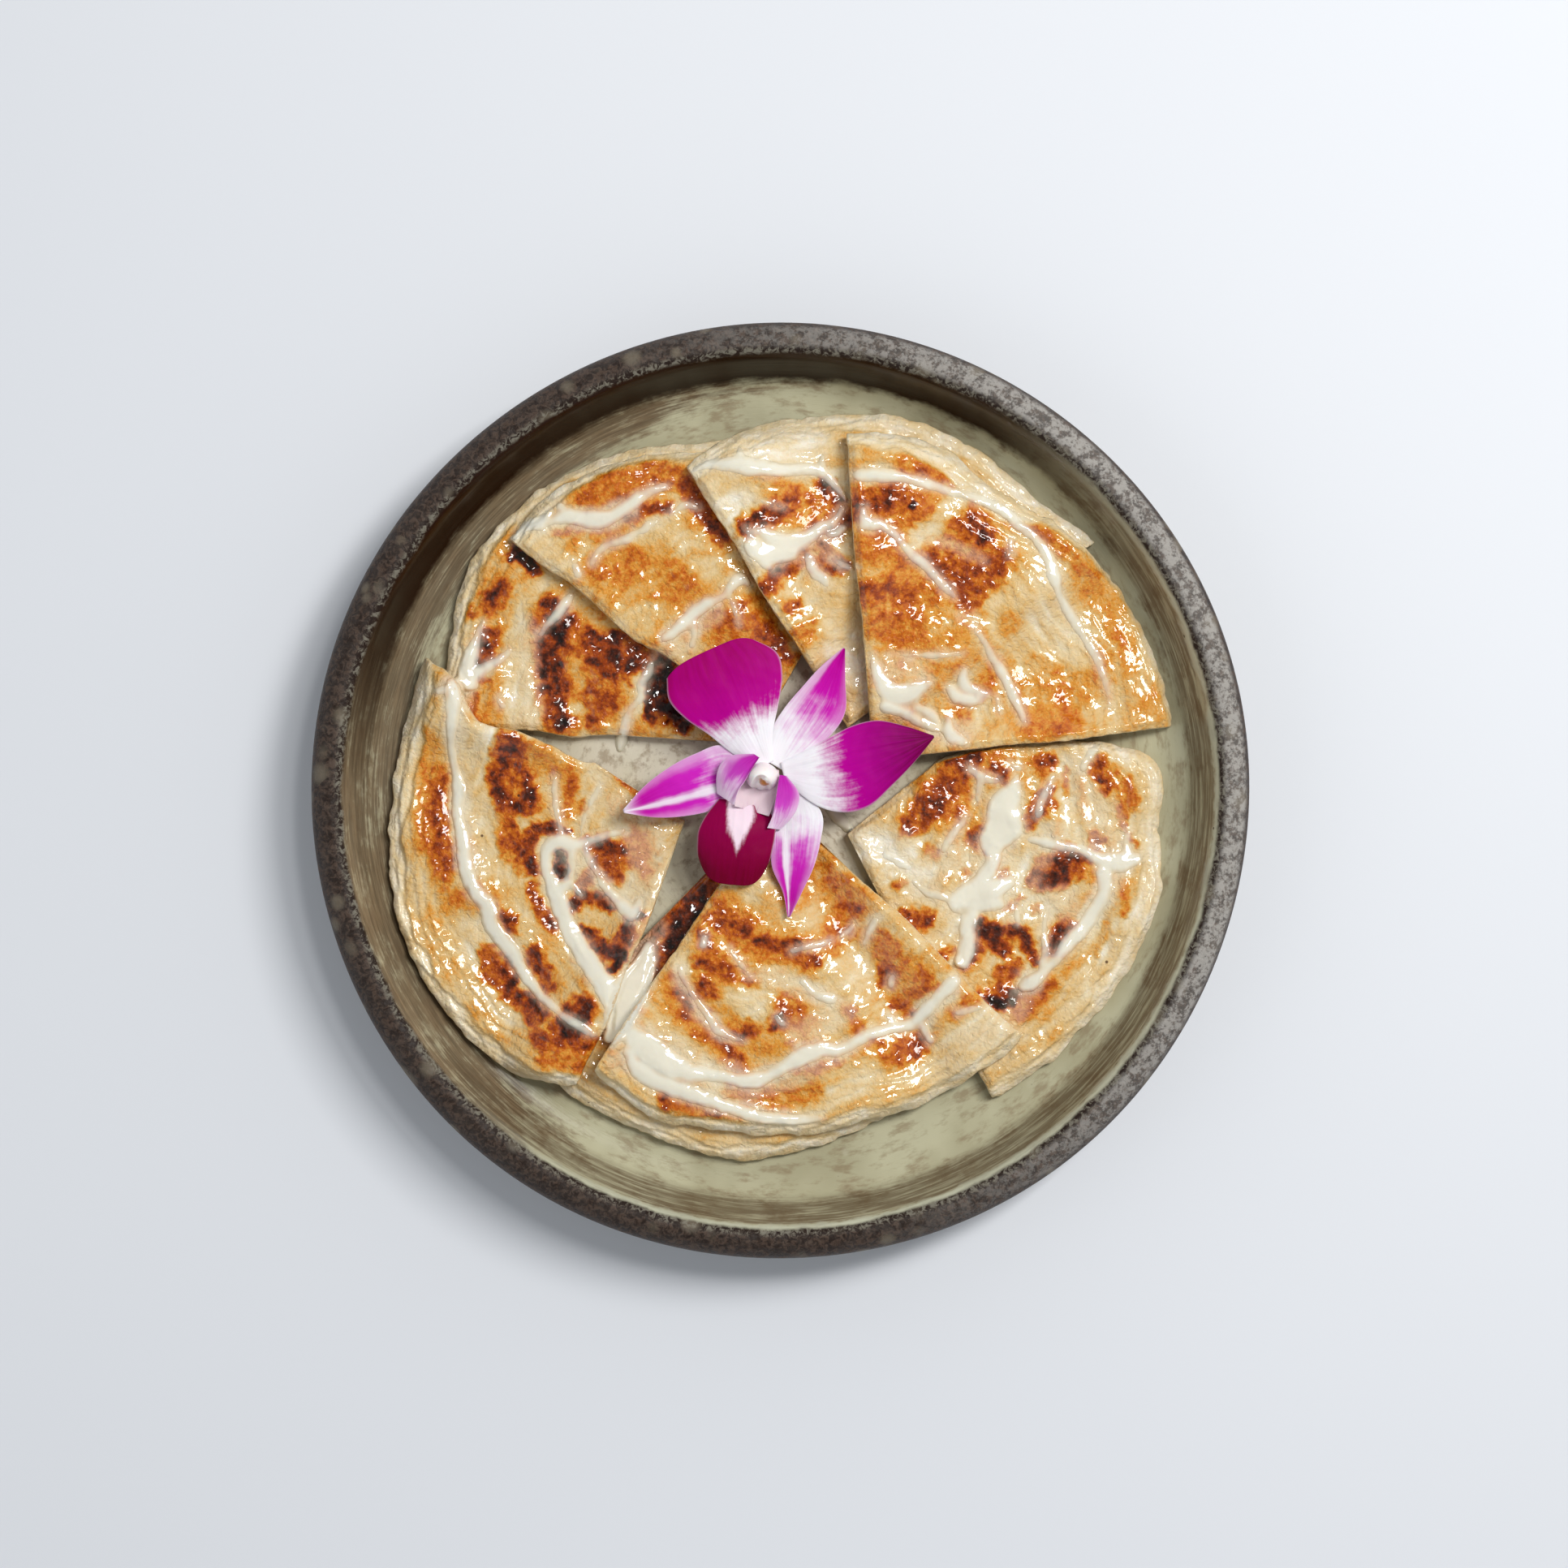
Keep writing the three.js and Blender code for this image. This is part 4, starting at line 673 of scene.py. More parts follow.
class Quarter:
    """One quarter of roti: its outline, its body and the detail of its surface."""

    def __init__(self, name, seed, values):
        self.name, self.seed = name, seed
        self.point = np.array(values["point"], float)
        self.start, self.end = math.radians(values["start"]), math.radians(values["end"])
        self.rim, self.thickness = values["rim"], values["thickness"]
        self.edges = values["from_edge"], values["to_edge"]
        self.turn = math.copysign(1, self.end - self.start)

    def edge_angles(self, radius):
        """The angles of the two cut edges at each radius."""
        reach = max(self.rim)
        swings = [
            np.arcsin(np.minimum(0.9, along(edge, radius / reach) / np.maximum(radius, 1)))
            for edge in self.edges
        ]
        return self.start - self.turn * swings[0], self.end + self.turn * swings[1]

    def insets(self, x, y):
        """How far points lie inside the rim and inside the nearer cut, their radius and their share."""
        radius = np.hypot(x - self.point[0], y - self.point[1])
        middle = (self.start + self.end) / 2
        turned = np.arctan2(y - self.point[1], x - self.point[0]) - middle
        angle = middle + np.arctan2(np.sin(turned), np.cos(turned))
        start, end = self.edge_angles(radius)
        share = (angle - start) / (end - start)
        half_turn = math.pi / 2

        def reach(swing):
            return radius * np.sin(np.clip(swing, -half_turn, half_turn))

        cut = np.minimum(reach(self.turn * (angle - start)), reach(self.turn * (end - angle)))
        return along(self.rim, share) - radius, cut, radius, share

    def swell(self, x, y):
        """The slow rise and fall of the dough's thickness."""
        seed = self.seed
        broad = 0.42 * np.sin(x / 7.3 + 1.7 * seed) * np.cos(y / 6.1 - seed)
        return broad + 0.3 * np.sin((x + y) / 4.9 + 2.3 * seed)

    def bed(self, x, y, blanket=None):
        """Height of the quarter's underside, on the blanket over what it lies on."""
        floor = plate_inside(np.hypot(x, y) + 1)
        return np.maximum((blanket or self.blanket).at(x, y), floor) + LAYER_GAP

    def plain_crust(self, x, y):
        """The solid's own top, for the heights that the next quarter lies on."""
        rim, cut, _, _ = self.insets(x, y)
        share = np.minimum(
            mix(RIM_SHARE, 1, smooth(rim, 0, RIM_FLAKE)), mix(CUT_SHARE, 1, smooth(cut, 0, CUT_ROUND))
        )
        return self.bed(x, y) + share * (self.thickness + self.swell(x, y)), np.minimum(rim, cut)

    def skin_edge(self, x, y, share):
        """How far inside the rim the browned top skin ends."""
        seed = 11 * self.seed
        pale = along(PALE_RIM[self.name], np.clip(share, 0, 1))
        ragged = mix(0.6, 1.4, smooth(pale, 1, 3)) * noise(x, y, 9, seed + 1)
        return pale + ragged + 0.5 * noise(x, y, 3.4, seed + 2)

    def terraces(self, x, y, rim, share):
        """Rise of the torn layers from the rim inwards, from 0 to 1 in steps, and where the top skin is."""
        seed = 11 * self.seed
        wobble = 0.9 * noise(x, y, 8, seed + 3) + 0.35 * noise(x, y, 2.8, seed + 4)
        lowest = smooth(rim + 0.6 * wobble, -0.1, 0.5)
        middle = smooth(rim - 1 + wobble, -0.15, 0.4)
        upper = smooth(rim - 2 + 1.3 * noise(x, y, 9, seed + 5) + 0.4 * wobble, -0.15, 0.4)
        edge = rim - self.skin_edge(x, y, share)
        steps = 0.28 * lowest + 0.26 * middle + 0.22 * upper + 0.24 * smooth(edge, -0.2, 0.5)
        return steps, smooth(edge, -1.2, 0.9)

    def grain(self, x, y, radius, share):
        """Fine streaks that follow the coil, where layer lies on layer."""
        seed = 19 * self.seed
        arc = share * abs(self.end - self.start) * COIL_ARC
        bent = radius + 3 * noise(x, y, 16, seed + 1) + 0.8 * noise(x, y, 5, seed + 2)
        return noise(bent, arc / 3.4, 2.3, seed + 3) + 0.5 * noise(bent, arc / 5, 1.1, seed + 4)

    def relief(self, x, y, radius, share, toast, rim):
        """Coil folds, thin plies, blisters and the crinkled skin, in millimetres."""
        seed = 17 * self.seed
        arc = share * abs(self.end - self.start) * COIL_ARC
        bent = radius + 2.4 * noise(x, y, 13, seed + 5) + 0.9 * noise(x, y, 4.5, seed + 6)
        coil = noise(bent, arc / 4, 5.5, seed + 7)
        plies = 2.3 * noise(bent, arc / 3, 8, seed + 8) + 0.5 * noise(x, y, 2.1, seed + 13)
        ply = np.floor(plies) + smooth(plies - np.floor(plies), 0, 0.16)
        patchy = smooth(noise(x, y, 11, seed + 14), -0.35, 0.45)
        wrinkle = 1 - 2 * np.abs(noise(bent, arc / 2.2, 1.8, seed + 9))
        blister = noise(x, y, 6.4, seed + 10)
        bubble = np.maximum(0, noise(x, y, 3.2, seed + 11) - 0.12)
        pit = noise(x, y, 1.5, seed + 12, 2)
        burnt = smooth(toast, AMBER, BROWN)
        outer = smooth(rim, 17, 8)
        leaves = (rim + 1.8 * noise(x, y, 14, seed + 15) + 0.6 * noise(x, y, 5, seed + 16)) / LEAF_WIDTH
        leaf = leaves - np.floor(leaves)
        torn = (smooth(leaf, 0, 0.14) - leaf) * smooth(noise(x, y, 12, seed + 17), -0.6, 0.0)
        crumple = CRUMPLE[self.name]
        return (
            0.36 * outer * torn
            + 0.34 * crumple * coil
            + mix(0.13, 0.16, outer) * crumple * ply
            + mix(0.02, 0.12, patchy * mix(0.3, 1, burnt)) * wrinkle
            + mix(0.3 * crumple, 0.16, outer) * blister
            + mix(0.4, 0.14, outer) * bubble
            + mix(0.04, 0.15, burnt) * pit
        )

    def scorched(self, value, x, y):
        """The ground's shades with the scorches and the painted shadow laid over them, dark ones with a
        golden fringe.
        """
        for shade, softness, *routes in SCORCHES_AND_SHADOWS[self.name]:
            for route in routes:
                depth, radius = route_depth(route, x, y)
                if shade >= BROWN:
                    fringe = smooth(depth, -HALO, 0.2)
                    value = np.maximum(value, mix(value, ORANGE, 0.75 * fringe))
                cover = smooth(depth / radius, -softness, softness)
                value = mix(value, shade, cover * (0.95 if shade > value.mean() else 0.85))
        return value

    def toast(self, x, y, skin, grain):
        """How toasted each point is; the grain is that of the dough's thin layers."""
        seed = 23 * self.seed
        drift_x = x + 1.1 * noise(x, y, 5.5, seed + 1) + 0.8 * noise(x, y, 1.6, seed + 2)
        drift_y = y + 1.1 * noise(x, y, 5.5, seed + 3) + 0.8 * noise(x, y, 1.6, seed + 4)
        value = GROUND[self.name] + 0.13 * noise(x, y, 15, seed + 5) + 0.08 * noise(x, y, 6, seed + 6, 2)
        value = self.scorched(value, drift_x, drift_y)
        speckle = noise(x, y, 2.6, seed + 7, 3)
        value = value + mix(0.05, 0.2, smooth(value, 0.35, 0.7)) * speckle * smooth(value, 0.15, 0.4)
        value = value + 0.07 * grain * smooth(value, 0.7, 0.3)
        return mix(0.1 + 0.07 * grain + 0.05 * noise(x, y, 5, seed + 8, 2), value, skin)

    def surface(self, x, y):
        """Height of the finished top, how toasted it is, and where its top skin is."""
        rim, cut, radius, share = self.insets(x, y)
        steps, skin = self.terraces(x, y, np.maximum(rim, 0), share)
        grain = self.grain(x, y, radius, share)
        toast = self.toast(x, y, skin, grain)
        body = np.minimum(mix(RIM_SHARE, 1, steps), mix(CUT_SHARE, 1, smooth(cut, 0, CUT_ROUND)))
        flat_edge = smooth(np.minimum(rim, cut), -0.5, 1.6)
        relief = self.relief(x, y, radius, share, toast, rim) + 0.07 * grain
        height = body * (self.thickness + self.swell(x, y)) + flat_edge * relief
        toast = toast + mix(0.05, 0.12, skin) * np.clip(relief, -0.6, 0.6)
        return self.bed(x, y, self.blanket.soft) + np.maximum(height, LEAST_CRUST), toast, skin

    def outline(self, step=0.4):
        """The torn and cut outline as plan points, anticlockwise, without a repeated end."""
        middle_radius = max(self.rim)
        samples = int(middle_radius / step)
        rim_count = int(middle_radius * abs(self.end - self.start) / step)
        outward = np.linspace(0.35, 1, samples)
        shares = np.linspace(0, 1, rim_count)[1:-1]

        def edge(side):
            radius = along(self.rim, float(side)) * outward
            return radius, self.edge_angles(radius)[side]

        r0, a0 = edge(0)
        r1, a1 = edge(1)
        rim_radius = along(self.rim, shares)
        start, end = self.edge_angles(rim_radius)
        rim_angle = mix(start, end, shares)
        radius = np.concatenate([[0.0], r0, rim_radius, r1[::-1]])
        angle = np.concatenate([[a0[0]], a0, rim_angle, a1[::-1]])
        x = self.point[0] + radius * np.cos(angle)
        y = self.point[1] + radius * np.sin(angle)
        return np.stack([x, y], axis=1) if self.turn > 0 else np.stack([x, y], axis=1)[::-1]

    def torn(self, loop):
        """The outline with nicks along its rim and a slight waver along its cuts."""
        x, y = loop.T
        rim, cut, _, _ = self.insets(x, y)
        on_rim = smooth(cut, 0.2, 2.5)
        seed = 29 * self.seed
        tear = 0.7 * noise(x, y, 8, seed + 1) + 0.3 * noise(x, y, 3, seed + 2) + 0.15
        nick = -1.4 * np.maximum(0, noise(x, y, 4.5, seed + 3) - 0.45)
        waver = 0.16 * noise(x, y, 2.4, seed + 4)
        return loop + outward_of(loop) * mix(waver, tear + nick, on_rim)[:, None]


STACK_CELL = 1.0


def stacked_quarters():
    """The quarters in laying order, each with the blanket that it lies on, and the last heights."""
    stack = Grid(STACK_CELL)
    x, y = stack.points()
    quarters = []
    for seed, (name, values) in enumerate(QUARTERS.items()):
        quarter = Quarter(name, seed, values)
        quarter.blanket = draped(stack, DRAPE_REACH)
        quarter.blanket.soft = Grid(STACK_CELL, blurred(quarter.blanket.values, 2))
        crust, inset = quarter.plain_crust(x, y)
        covered = np.where(inset > -0.5, crust, 0)
        stack = Grid(STACK_CELL, np.maximum(stack.values, covered))
        quarters.append(quarter)
    return quarters, stack


# ---- Meshes ----

def mesh_piece(name, corners, faces, layers=None):
    """A smooth-shaded piece from corners in millimetres, with its named values at the corners."""
    mesh = bpy.data.meshes.new(name)
    corners = np.asarray(corners, float) * MM
    faces = np.asarray(faces, np.int32)
    sides = faces.shape[1]
    mesh.vertices.add(len(corners))
    mesh.vertices.foreach_set("co", corners.ravel())
    mesh.loops.add(faces.size)
    mesh.loops.foreach_set("vertex_index", faces.ravel())
    mesh.polygons.add(len(faces))
    mesh.polygons.foreach_set("loop_start", np.arange(len(faces), dtype=np.int32) * sides)
    mesh.update(calc_edges=True)
    mesh.shade_smooth()
    for layer, values in (layers or {}).items():
        stored = mesh.attributes.new(layer, "FLOAT", "POINT").data
        stored.foreach_set("value", np.asarray(values, np.float32))
    piece = bpy.data.objects.new(name, mesh)
    bpy.context.scene.collection.objects.link(piece)
    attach(piece, "root")
    return piece


def filled(loop, inner):
    """Triangles that fill a loop of plan points through the inner points given."""
    points = [Vector(p) for p in np.concatenate([loop, inner])]
    result = delaunay_2d_cdt(points, [], [list(range(len(loop)))], 1, 1e-6)
    if len(result[0]) != len(points):
        raise ValueError("the outline crosses itself")
    order = np.array([ids[0] for ids in result[3]])
    places = np.array([tuple(p) for p in result[0]])
    triangles = np.array([f for f in result[2] if len(f) == 3])
    a, b, c = (places[triangles[:, k]] for k in range(3))
    turn = (b[:, 0] - a[:, 0]) * (c[:, 1] - a[:, 1]) - (b[:, 1] - a[:, 1]) * (c[:, 0] - a[:, 0])
    triangles[turn < 0] = triangles[turn < 0][:, ::-1]
    return order[triangles]


def open_edges(quads):
    """Edges that only one face uses, in the order that face walks them."""
    pairs = np.concatenate([quads[:, [k, (k + 1) % 4]] for k in range(4)])
    key = pairs.min(1).astype(np.int64) * (pairs.max() + 1) + pairs.max(1)
    _, first, times = np.unique(key, return_index=True, return_counts=True)
    return pairs[first[times == 1]]


def closed_sheet(quads, count):
    """Faces of a thin closed sheet: its top, its underside `count` points on, and the walls between them."""
    sides = open_edges(quads)
    walls = np.stack([sides[:, 0], sides[:, 0] + count, sides[:, 1] + count, sides[:, 1]], 1)
    return np.concatenate([quads, quads[:, ::-1] + count, walls])


def turned_faces(rows, segments):
    """Triangles of a turned body: rings of `segments` points, then the middles of its first and last ring."""
    index = np.arange(rows * segments).reshape(rows, segments)
    a, b = index[:-1], index[1:]
    quads = np.stack([a, b, np.roll(b, -1, 1), np.roll(a, -1, 1)], 2).reshape(-1, 4)
    middle = np.full(segments, rows * segments)
    first, last = index[0], index[-1]
    top = np.stack([middle, first, np.roll(first, -1)], 1)
    foot = np.stack([middle + 1, np.roll(last, -1), last], 1)
    return np.concatenate([quads[:, [0, 1, 2]], quads[:, [0, 2, 3]], top, foot])


ROW_CLOSENESS = 0.9  # distance between a lattice's rows, as a share of the distance along them
SHAKE = 0.22  # how far a lattice's points are moved, as a share of that distance
RIM_CLEARANCE = 1.2
CUT_CLEARANCE = 0.15
CORNER_CLEARANCE = 0.6
HIDDEN_DEPTH = 3  # how far inside a later quarter the coarse lattice starts


def inner_points(quarter, above, pitch, hidden_pitch, margin):
    """A jittered lattice inside a quarter, coarser where later quarters hide it."""
    reach = max(quarter.rim) + 4
    found = []
    for step, hidden in ((pitch, False), (hidden_pitch, True)):
        across, up = int(2 * reach / step), int(2 * reach / step / ROW_CLOSENESS)
        rng = np.random.default_rng(5 + quarter.seed)
        i, j = np.meshgrid(np.arange(across), np.arange(up))
        shake = rng.uniform(-SHAKE, SHAKE, (2, up, across)) * step
        x = quarter.point[0] - reach + step * (i + 0.5 * (j % 2)) + shake[0]
        y = quarter.point[1] - reach + step * j * ROW_CLOSENESS + shake[1]
        x, y = x.ravel(), y.ravel()
        rim, cut, _, _ = quarter.insets(x, y)
        cover = np.full(x.shape, FAR_OUTSIDE)
        for other in above:
            other_rim, other_cut, _, _ = other.insets(x, y)
            cover = np.maximum(cover, np.minimum(other_rim, other_cut))
        inside = (rim > margin + RIM_CLEARANCE) & (cut > margin + CUT_CLEARANCE)
        inside |= (np.minimum(rim, cut) > margin) & (rim > margin + CORNER_CLEARANCE)
        keep = inside & ((cover > HIDDEN_DEPTH) if hidden else (cover <= HIDDEN_DEPTH))
        found.append(np.stack([x[keep], y[keep]], 1))
    return np.concatenate(found)


AROUND = [(di, dj) for di in (-1, 0, 1) for dj in (-1, 0, 1)]


def clear_of(loop, points, gap):
    """The points that lie inside a loop and farther than `gap` from its corners."""
    cell = 1.0
    buckets = {}
    for index, (i, j) in enumerate(np.floor(loop / cell).astype(int)):
        buckets.setdefault((i, j), []).append(index)
    near = {(i + di, j + dj) for i, j in buckets for di, dj in AROUND}
    cells = np.floor(points / cell).astype(int)
    keep = np.ones(len(points), bool)
    for index, (i, j) in enumerate(map(tuple, cells)):
        if (i, j) not in near:
            continue
        around = [k for di, dj in AROUND for k in buckets.get((i + di, j + dj), ())]
        gaps = np.hypot(*(loop[around] - points[index]).T)
        keep[index] = gaps.min() > gap and inside_loop(loop, around, gaps, points[index])
    return points[keep]


def inside_loop(loop, around, gaps, point):
    """Whether a point lies on the inner side of the loop's nearest stretch."""
    nearest = around[int(gaps.argmin())]
    before, after = loop[nearest - 1], loop[(nearest + 1) % len(loop)]
    run, out = after - before, point - loop[nearest]
    return run[0] * out[1] - run[1] * out[0] > 0


LAMINA_ROWS = 7  # rows of points down a torn edge, with those of the top's loop and the base's loop
LEAF_LENGTH = 3.4  # of the bulges along each leaf of the torn edge
TOP_MARGIN, TOP_GAP = 0.1, 0.28  # how far inside the outline the top's inner points start
UNDER_MARGIN, UNDER_GAP = 1.5, 0.9  # the same for the underside
UNDER_TOAST = 0.2


def laminated_edge(quarter, loop, top_height):
    """Rows of points down the torn edge, bulging leaf by leaf, and how toasted each is."""
    outward = outward_of(loop)
    outward[0] = 0
    below = quarter.bed(*loop.T, quarter.blanket.soft)
    distance = np.cumsum(np.linalg.norm(loop - np.roll(loop, 1, 0), axis=1))
    rows, toasts = [], []
    for row in range(1, LAMINA_ROWS):
        leaf = noise(distance, np.full(len(loop), row * 7.7), LEAF_LENGTH, 41 * quarter.seed + row)
        bulge = 0.2 * leaf + (0.16 if row % 2 else -0.12)
        if row == LAMINA_ROWS - 1:
            bulge = np.zeros(len(loop))
        height = mix(top_height, below, row / (LAMINA_ROWS - 1))
        rows.append(np.column_stack([loop + outward * bulge[:, None], height]))
        toasts.append(np.clip(0.12 + 0.1 * leaf + (0.1 if row > LAMINA_ROWS - 3 else 0), 0, 1))
    return rows, toasts


def edge_faces(starts, count):
    """Triangles between closed rows of `count` points, given the number that each row starts with."""
    faces = []
    for upper_start, lower_start in zip(starts, starts[1:]):
        upper, lower = np.arange(count) + upper_start, np.arange(count) + lower_start
        upper_next, lower_next = np.roll(upper, -1), np.roll(lower, -1)
        faces.append(np.stack([upper, lower, upper_next], 1))
        faces.append(np.stack([upper_next, lower, lower_next], 1))
    return np.concatenate(faces)


def underside(quarter, base_loop):
    """The inner points of a quarter's underside and its triangles, which count the base's loop first."""
    spread = inner_points(quarter, (), UNDER_PITCH, UNDER_PITCH, UNDER_MARGIN)
    lattice = clear_of(base_loop, spread, UNDER_GAP)
    points = np.column_stack([lattice, quarter.bed(*lattice.T, quarter.blanket.soft)])
    return points, filled(base_loop, lattice)[:, ::-1]


def quarter_piece(quarter, above):
    """A closed quarter: its fine top, its laminated edge and its plain underside."""
    loop = quarter.torn(quarter.outline())
    inner = clear_of(loop, inner_points(quarter, above, PITCH, HIDDEN_PITCH, TOP_MARGIN), TOP_GAP)
    plan = np.concatenate([loop, inner])
    height, toast, skin = quarter.surface(*plan.T)
    count, size = len(loop), len(plan)
    rows, row_toasts = laminated_edge(quarter, loop, height[:count])
    under_points, under_faces = underside(quarter, rows[-1][:, :2])
    starts = [0, *(size + row * count for row in range(LAMINA_ROWS - 1))]
    corners = np.concatenate([np.column_stack([plan, height]), *rows, under_points])
    faces = np.concatenate([filled(loop, inner), edge_faces(starts, count), under_faces + starts[-1]])
    rest = np.zeros(len(corners) - size)
    layers = {
        "toast": np.concatenate([toast, *row_toasts, np.full(len(under_points), UNDER_TOAST)]),
        "film": np.concatenate([film_at(*plan.T), rest]),
        "skin": np.concatenate([skin, rest]),
    }
    piece = mesh_piece(quarter.name + "_crust", corners, faces, layers)
    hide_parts(quarter.name)
    return piece


# ---- Milk ----

MILK_CELL = 0.34
MILK_HEIGHT = 0.85  # of the middle of a wide pool over its bed
MILK_STEEPNESS = 0.75  # how fast the milk rises from its edge
MILK_EDGE = 0.06  # how far the milk's edge lies below the surface, so that no gap shows
MILK_SUNK = 0.35  # how far its hidden base lies below the surface
MILK_OPAQUE = 1.2  # distance from the edge at which nothing shows through


def stroke_field(strokes, x, y, margin=4.0):
    """How far each point lies inside the strokes taken together."""
    depth = np.full(x.shape, -margin)
    for route in strokes:
        stations = rounded_route(route)
        rows = np.array(stations)
        reach = rows[:, 2].max() + margin
        low, high = rows[:, :2].min(0) - reach, rows[:, :2].max(0) + reach
        near = (x > low[0]) & (x < high[0]) & (y > low[1]) & (y < high[1])
        depth[near] = np.maximum(depth[near], route_depth(stations, x[near], y[near])[0])
    return depth


def finished_surface(quarters, x, y):
    """Height of whatever is on top at each point, and how toasted it is, -1 on the plate."""
    height = plate_inside(np.hypot(x, y))
    shade = np.full(x.shape, -1.0)
    for quarter in quarters:
        rim, cut, _, _ = quarter.insets(x, y)
        on = np.minimum(rim, cut) > 0
        crust, toast, _ = quarter.surface(x[on], y[on])
        height[on] = crust
        shade[on] = toast
    return height, shade


def milk_level(depth, height, x, y):
    """Height of the milk, which fills the small hollows under it and is crested along its strokes."""
    bed = np.maximum(blurred(height, 2), blurred(height, 5))
    bed = np.maximum(bed, mix(height, blurred(height, 10), 0.8 * smooth(depth, 0.5, 3)))
    bed = mix(height, bed, smooth(depth, -0.2, 0.8))
    crest = MILK_HEIGHT * (1 - np.exp(-MILK_STEEPNESS * np.maximum(depth, 0)))
    return bed + crest + 0.09 * noise(x, y, 3.2, 73)


def pulled_to_edge(depth, inside, x, y):
    """The grid's points, with those just outside the milk moved up to its edge."""
    gy, gx = np.gradient(depth, MILK_CELL)
    slope = np.maximum(gx * gx + gy * gy, 0.25)
    pull = np.where(inside, 0, np.clip(-depth / slope, 0, MILK_CELL * 1.5))
    return x + gx * pull, y + gy * pull


def cells_touching(inside):
    """The cells of a grid that have a corner inside, and the points that those cells use."""
    cells = inside[:-1, :-1] | inside[1:, :-1] | inside[:-1, 1:] | inside[1:, 1:]
    used = np.zeros_like(inside)
    rows, columns = cells.shape
    for dj in (0, 1):
        for di in (0, 1):
            used[dj : rows + dj, di : columns + di] |= cells
    return cells, used


def milk_piece(quarters):
    """The thick milk as one closed height field over the bread and the plate's floor."""
    x, y = Grid(MILK_CELL).points()
    depth = blurred(stroke_field(MILK_STROKES, x, y), 1)
    depth += 0.32 * noise(x, y, 5, 71) + 0.2 * noise(x, y, 2.1, 72)
    inside = depth > 0
    height, shade = finished_surface(quarters, x, y)
    px, py = pulled_to_edge(depth, inside, x, y)
    edge_level = Grid(MILK_CELL, height).at(px, py) - MILK_EDGE
    level = np.maximum(milk_level(depth, height, x, y), height + 0.02)
    top = np.where(inside, level, edge_level)
    base = np.where(inside, np.minimum(height, top) - MILK_SUNK, edge_level - 0.2)

    cells, used = cells_touching(inside)
    number = np.full(used.shape, -1)
    number[used] = np.arange(used.sum())
    j, i = np.nonzero(cells)
    quads = np.stack([number[j, i], number[j, i + 1], number[j + 1, i + 1], number[j + 1, i]], 1)
    corners = np.concatenate([np.column_stack([px[used], py[used], z[used]]) for z in (top, base)])
    cover = np.where(inside, np.clip(depth / MILK_OPAQUE, 0, 1), 0)[used]
    layers = {"cover": np.tile(cover, 2), "toast": np.tile(shade[used], 2)}
    return mesh_piece("milk_drizzle", corners, closed_sheet(quads, len(cover)), layers)


def film_at(x, y):
    """How milky the dough looks, from the thin film round the milk."""
    depth = stroke_field(FILM_STROKES, x, y)
    near = stroke_field(MILK_STROKES, x, y)
    ragged = 0.9 * noise(x, y, 4.2, 75, 2)
    thin = smooth(depth + ragged, -1.6, 1.2)
    rim = smooth(near + 0.7 * ragged, -1.5, 0.4)
    return np.clip(0.5 * thin + 0.6 * rim, 0, 1)


# ---- Shader helpers ----

def linear_light(screen):
    share = screen / 255
    return share / 12.92 if share <= 0.04045 else ((share + 0.055) / 1.055) ** 2.4


def shade_of(red, green, blue):
    """A colour given as 0-255 screen values, in the renderer's linear light."""
    return linear_light(red), linear_light(green), linear_light(blue), 1.0


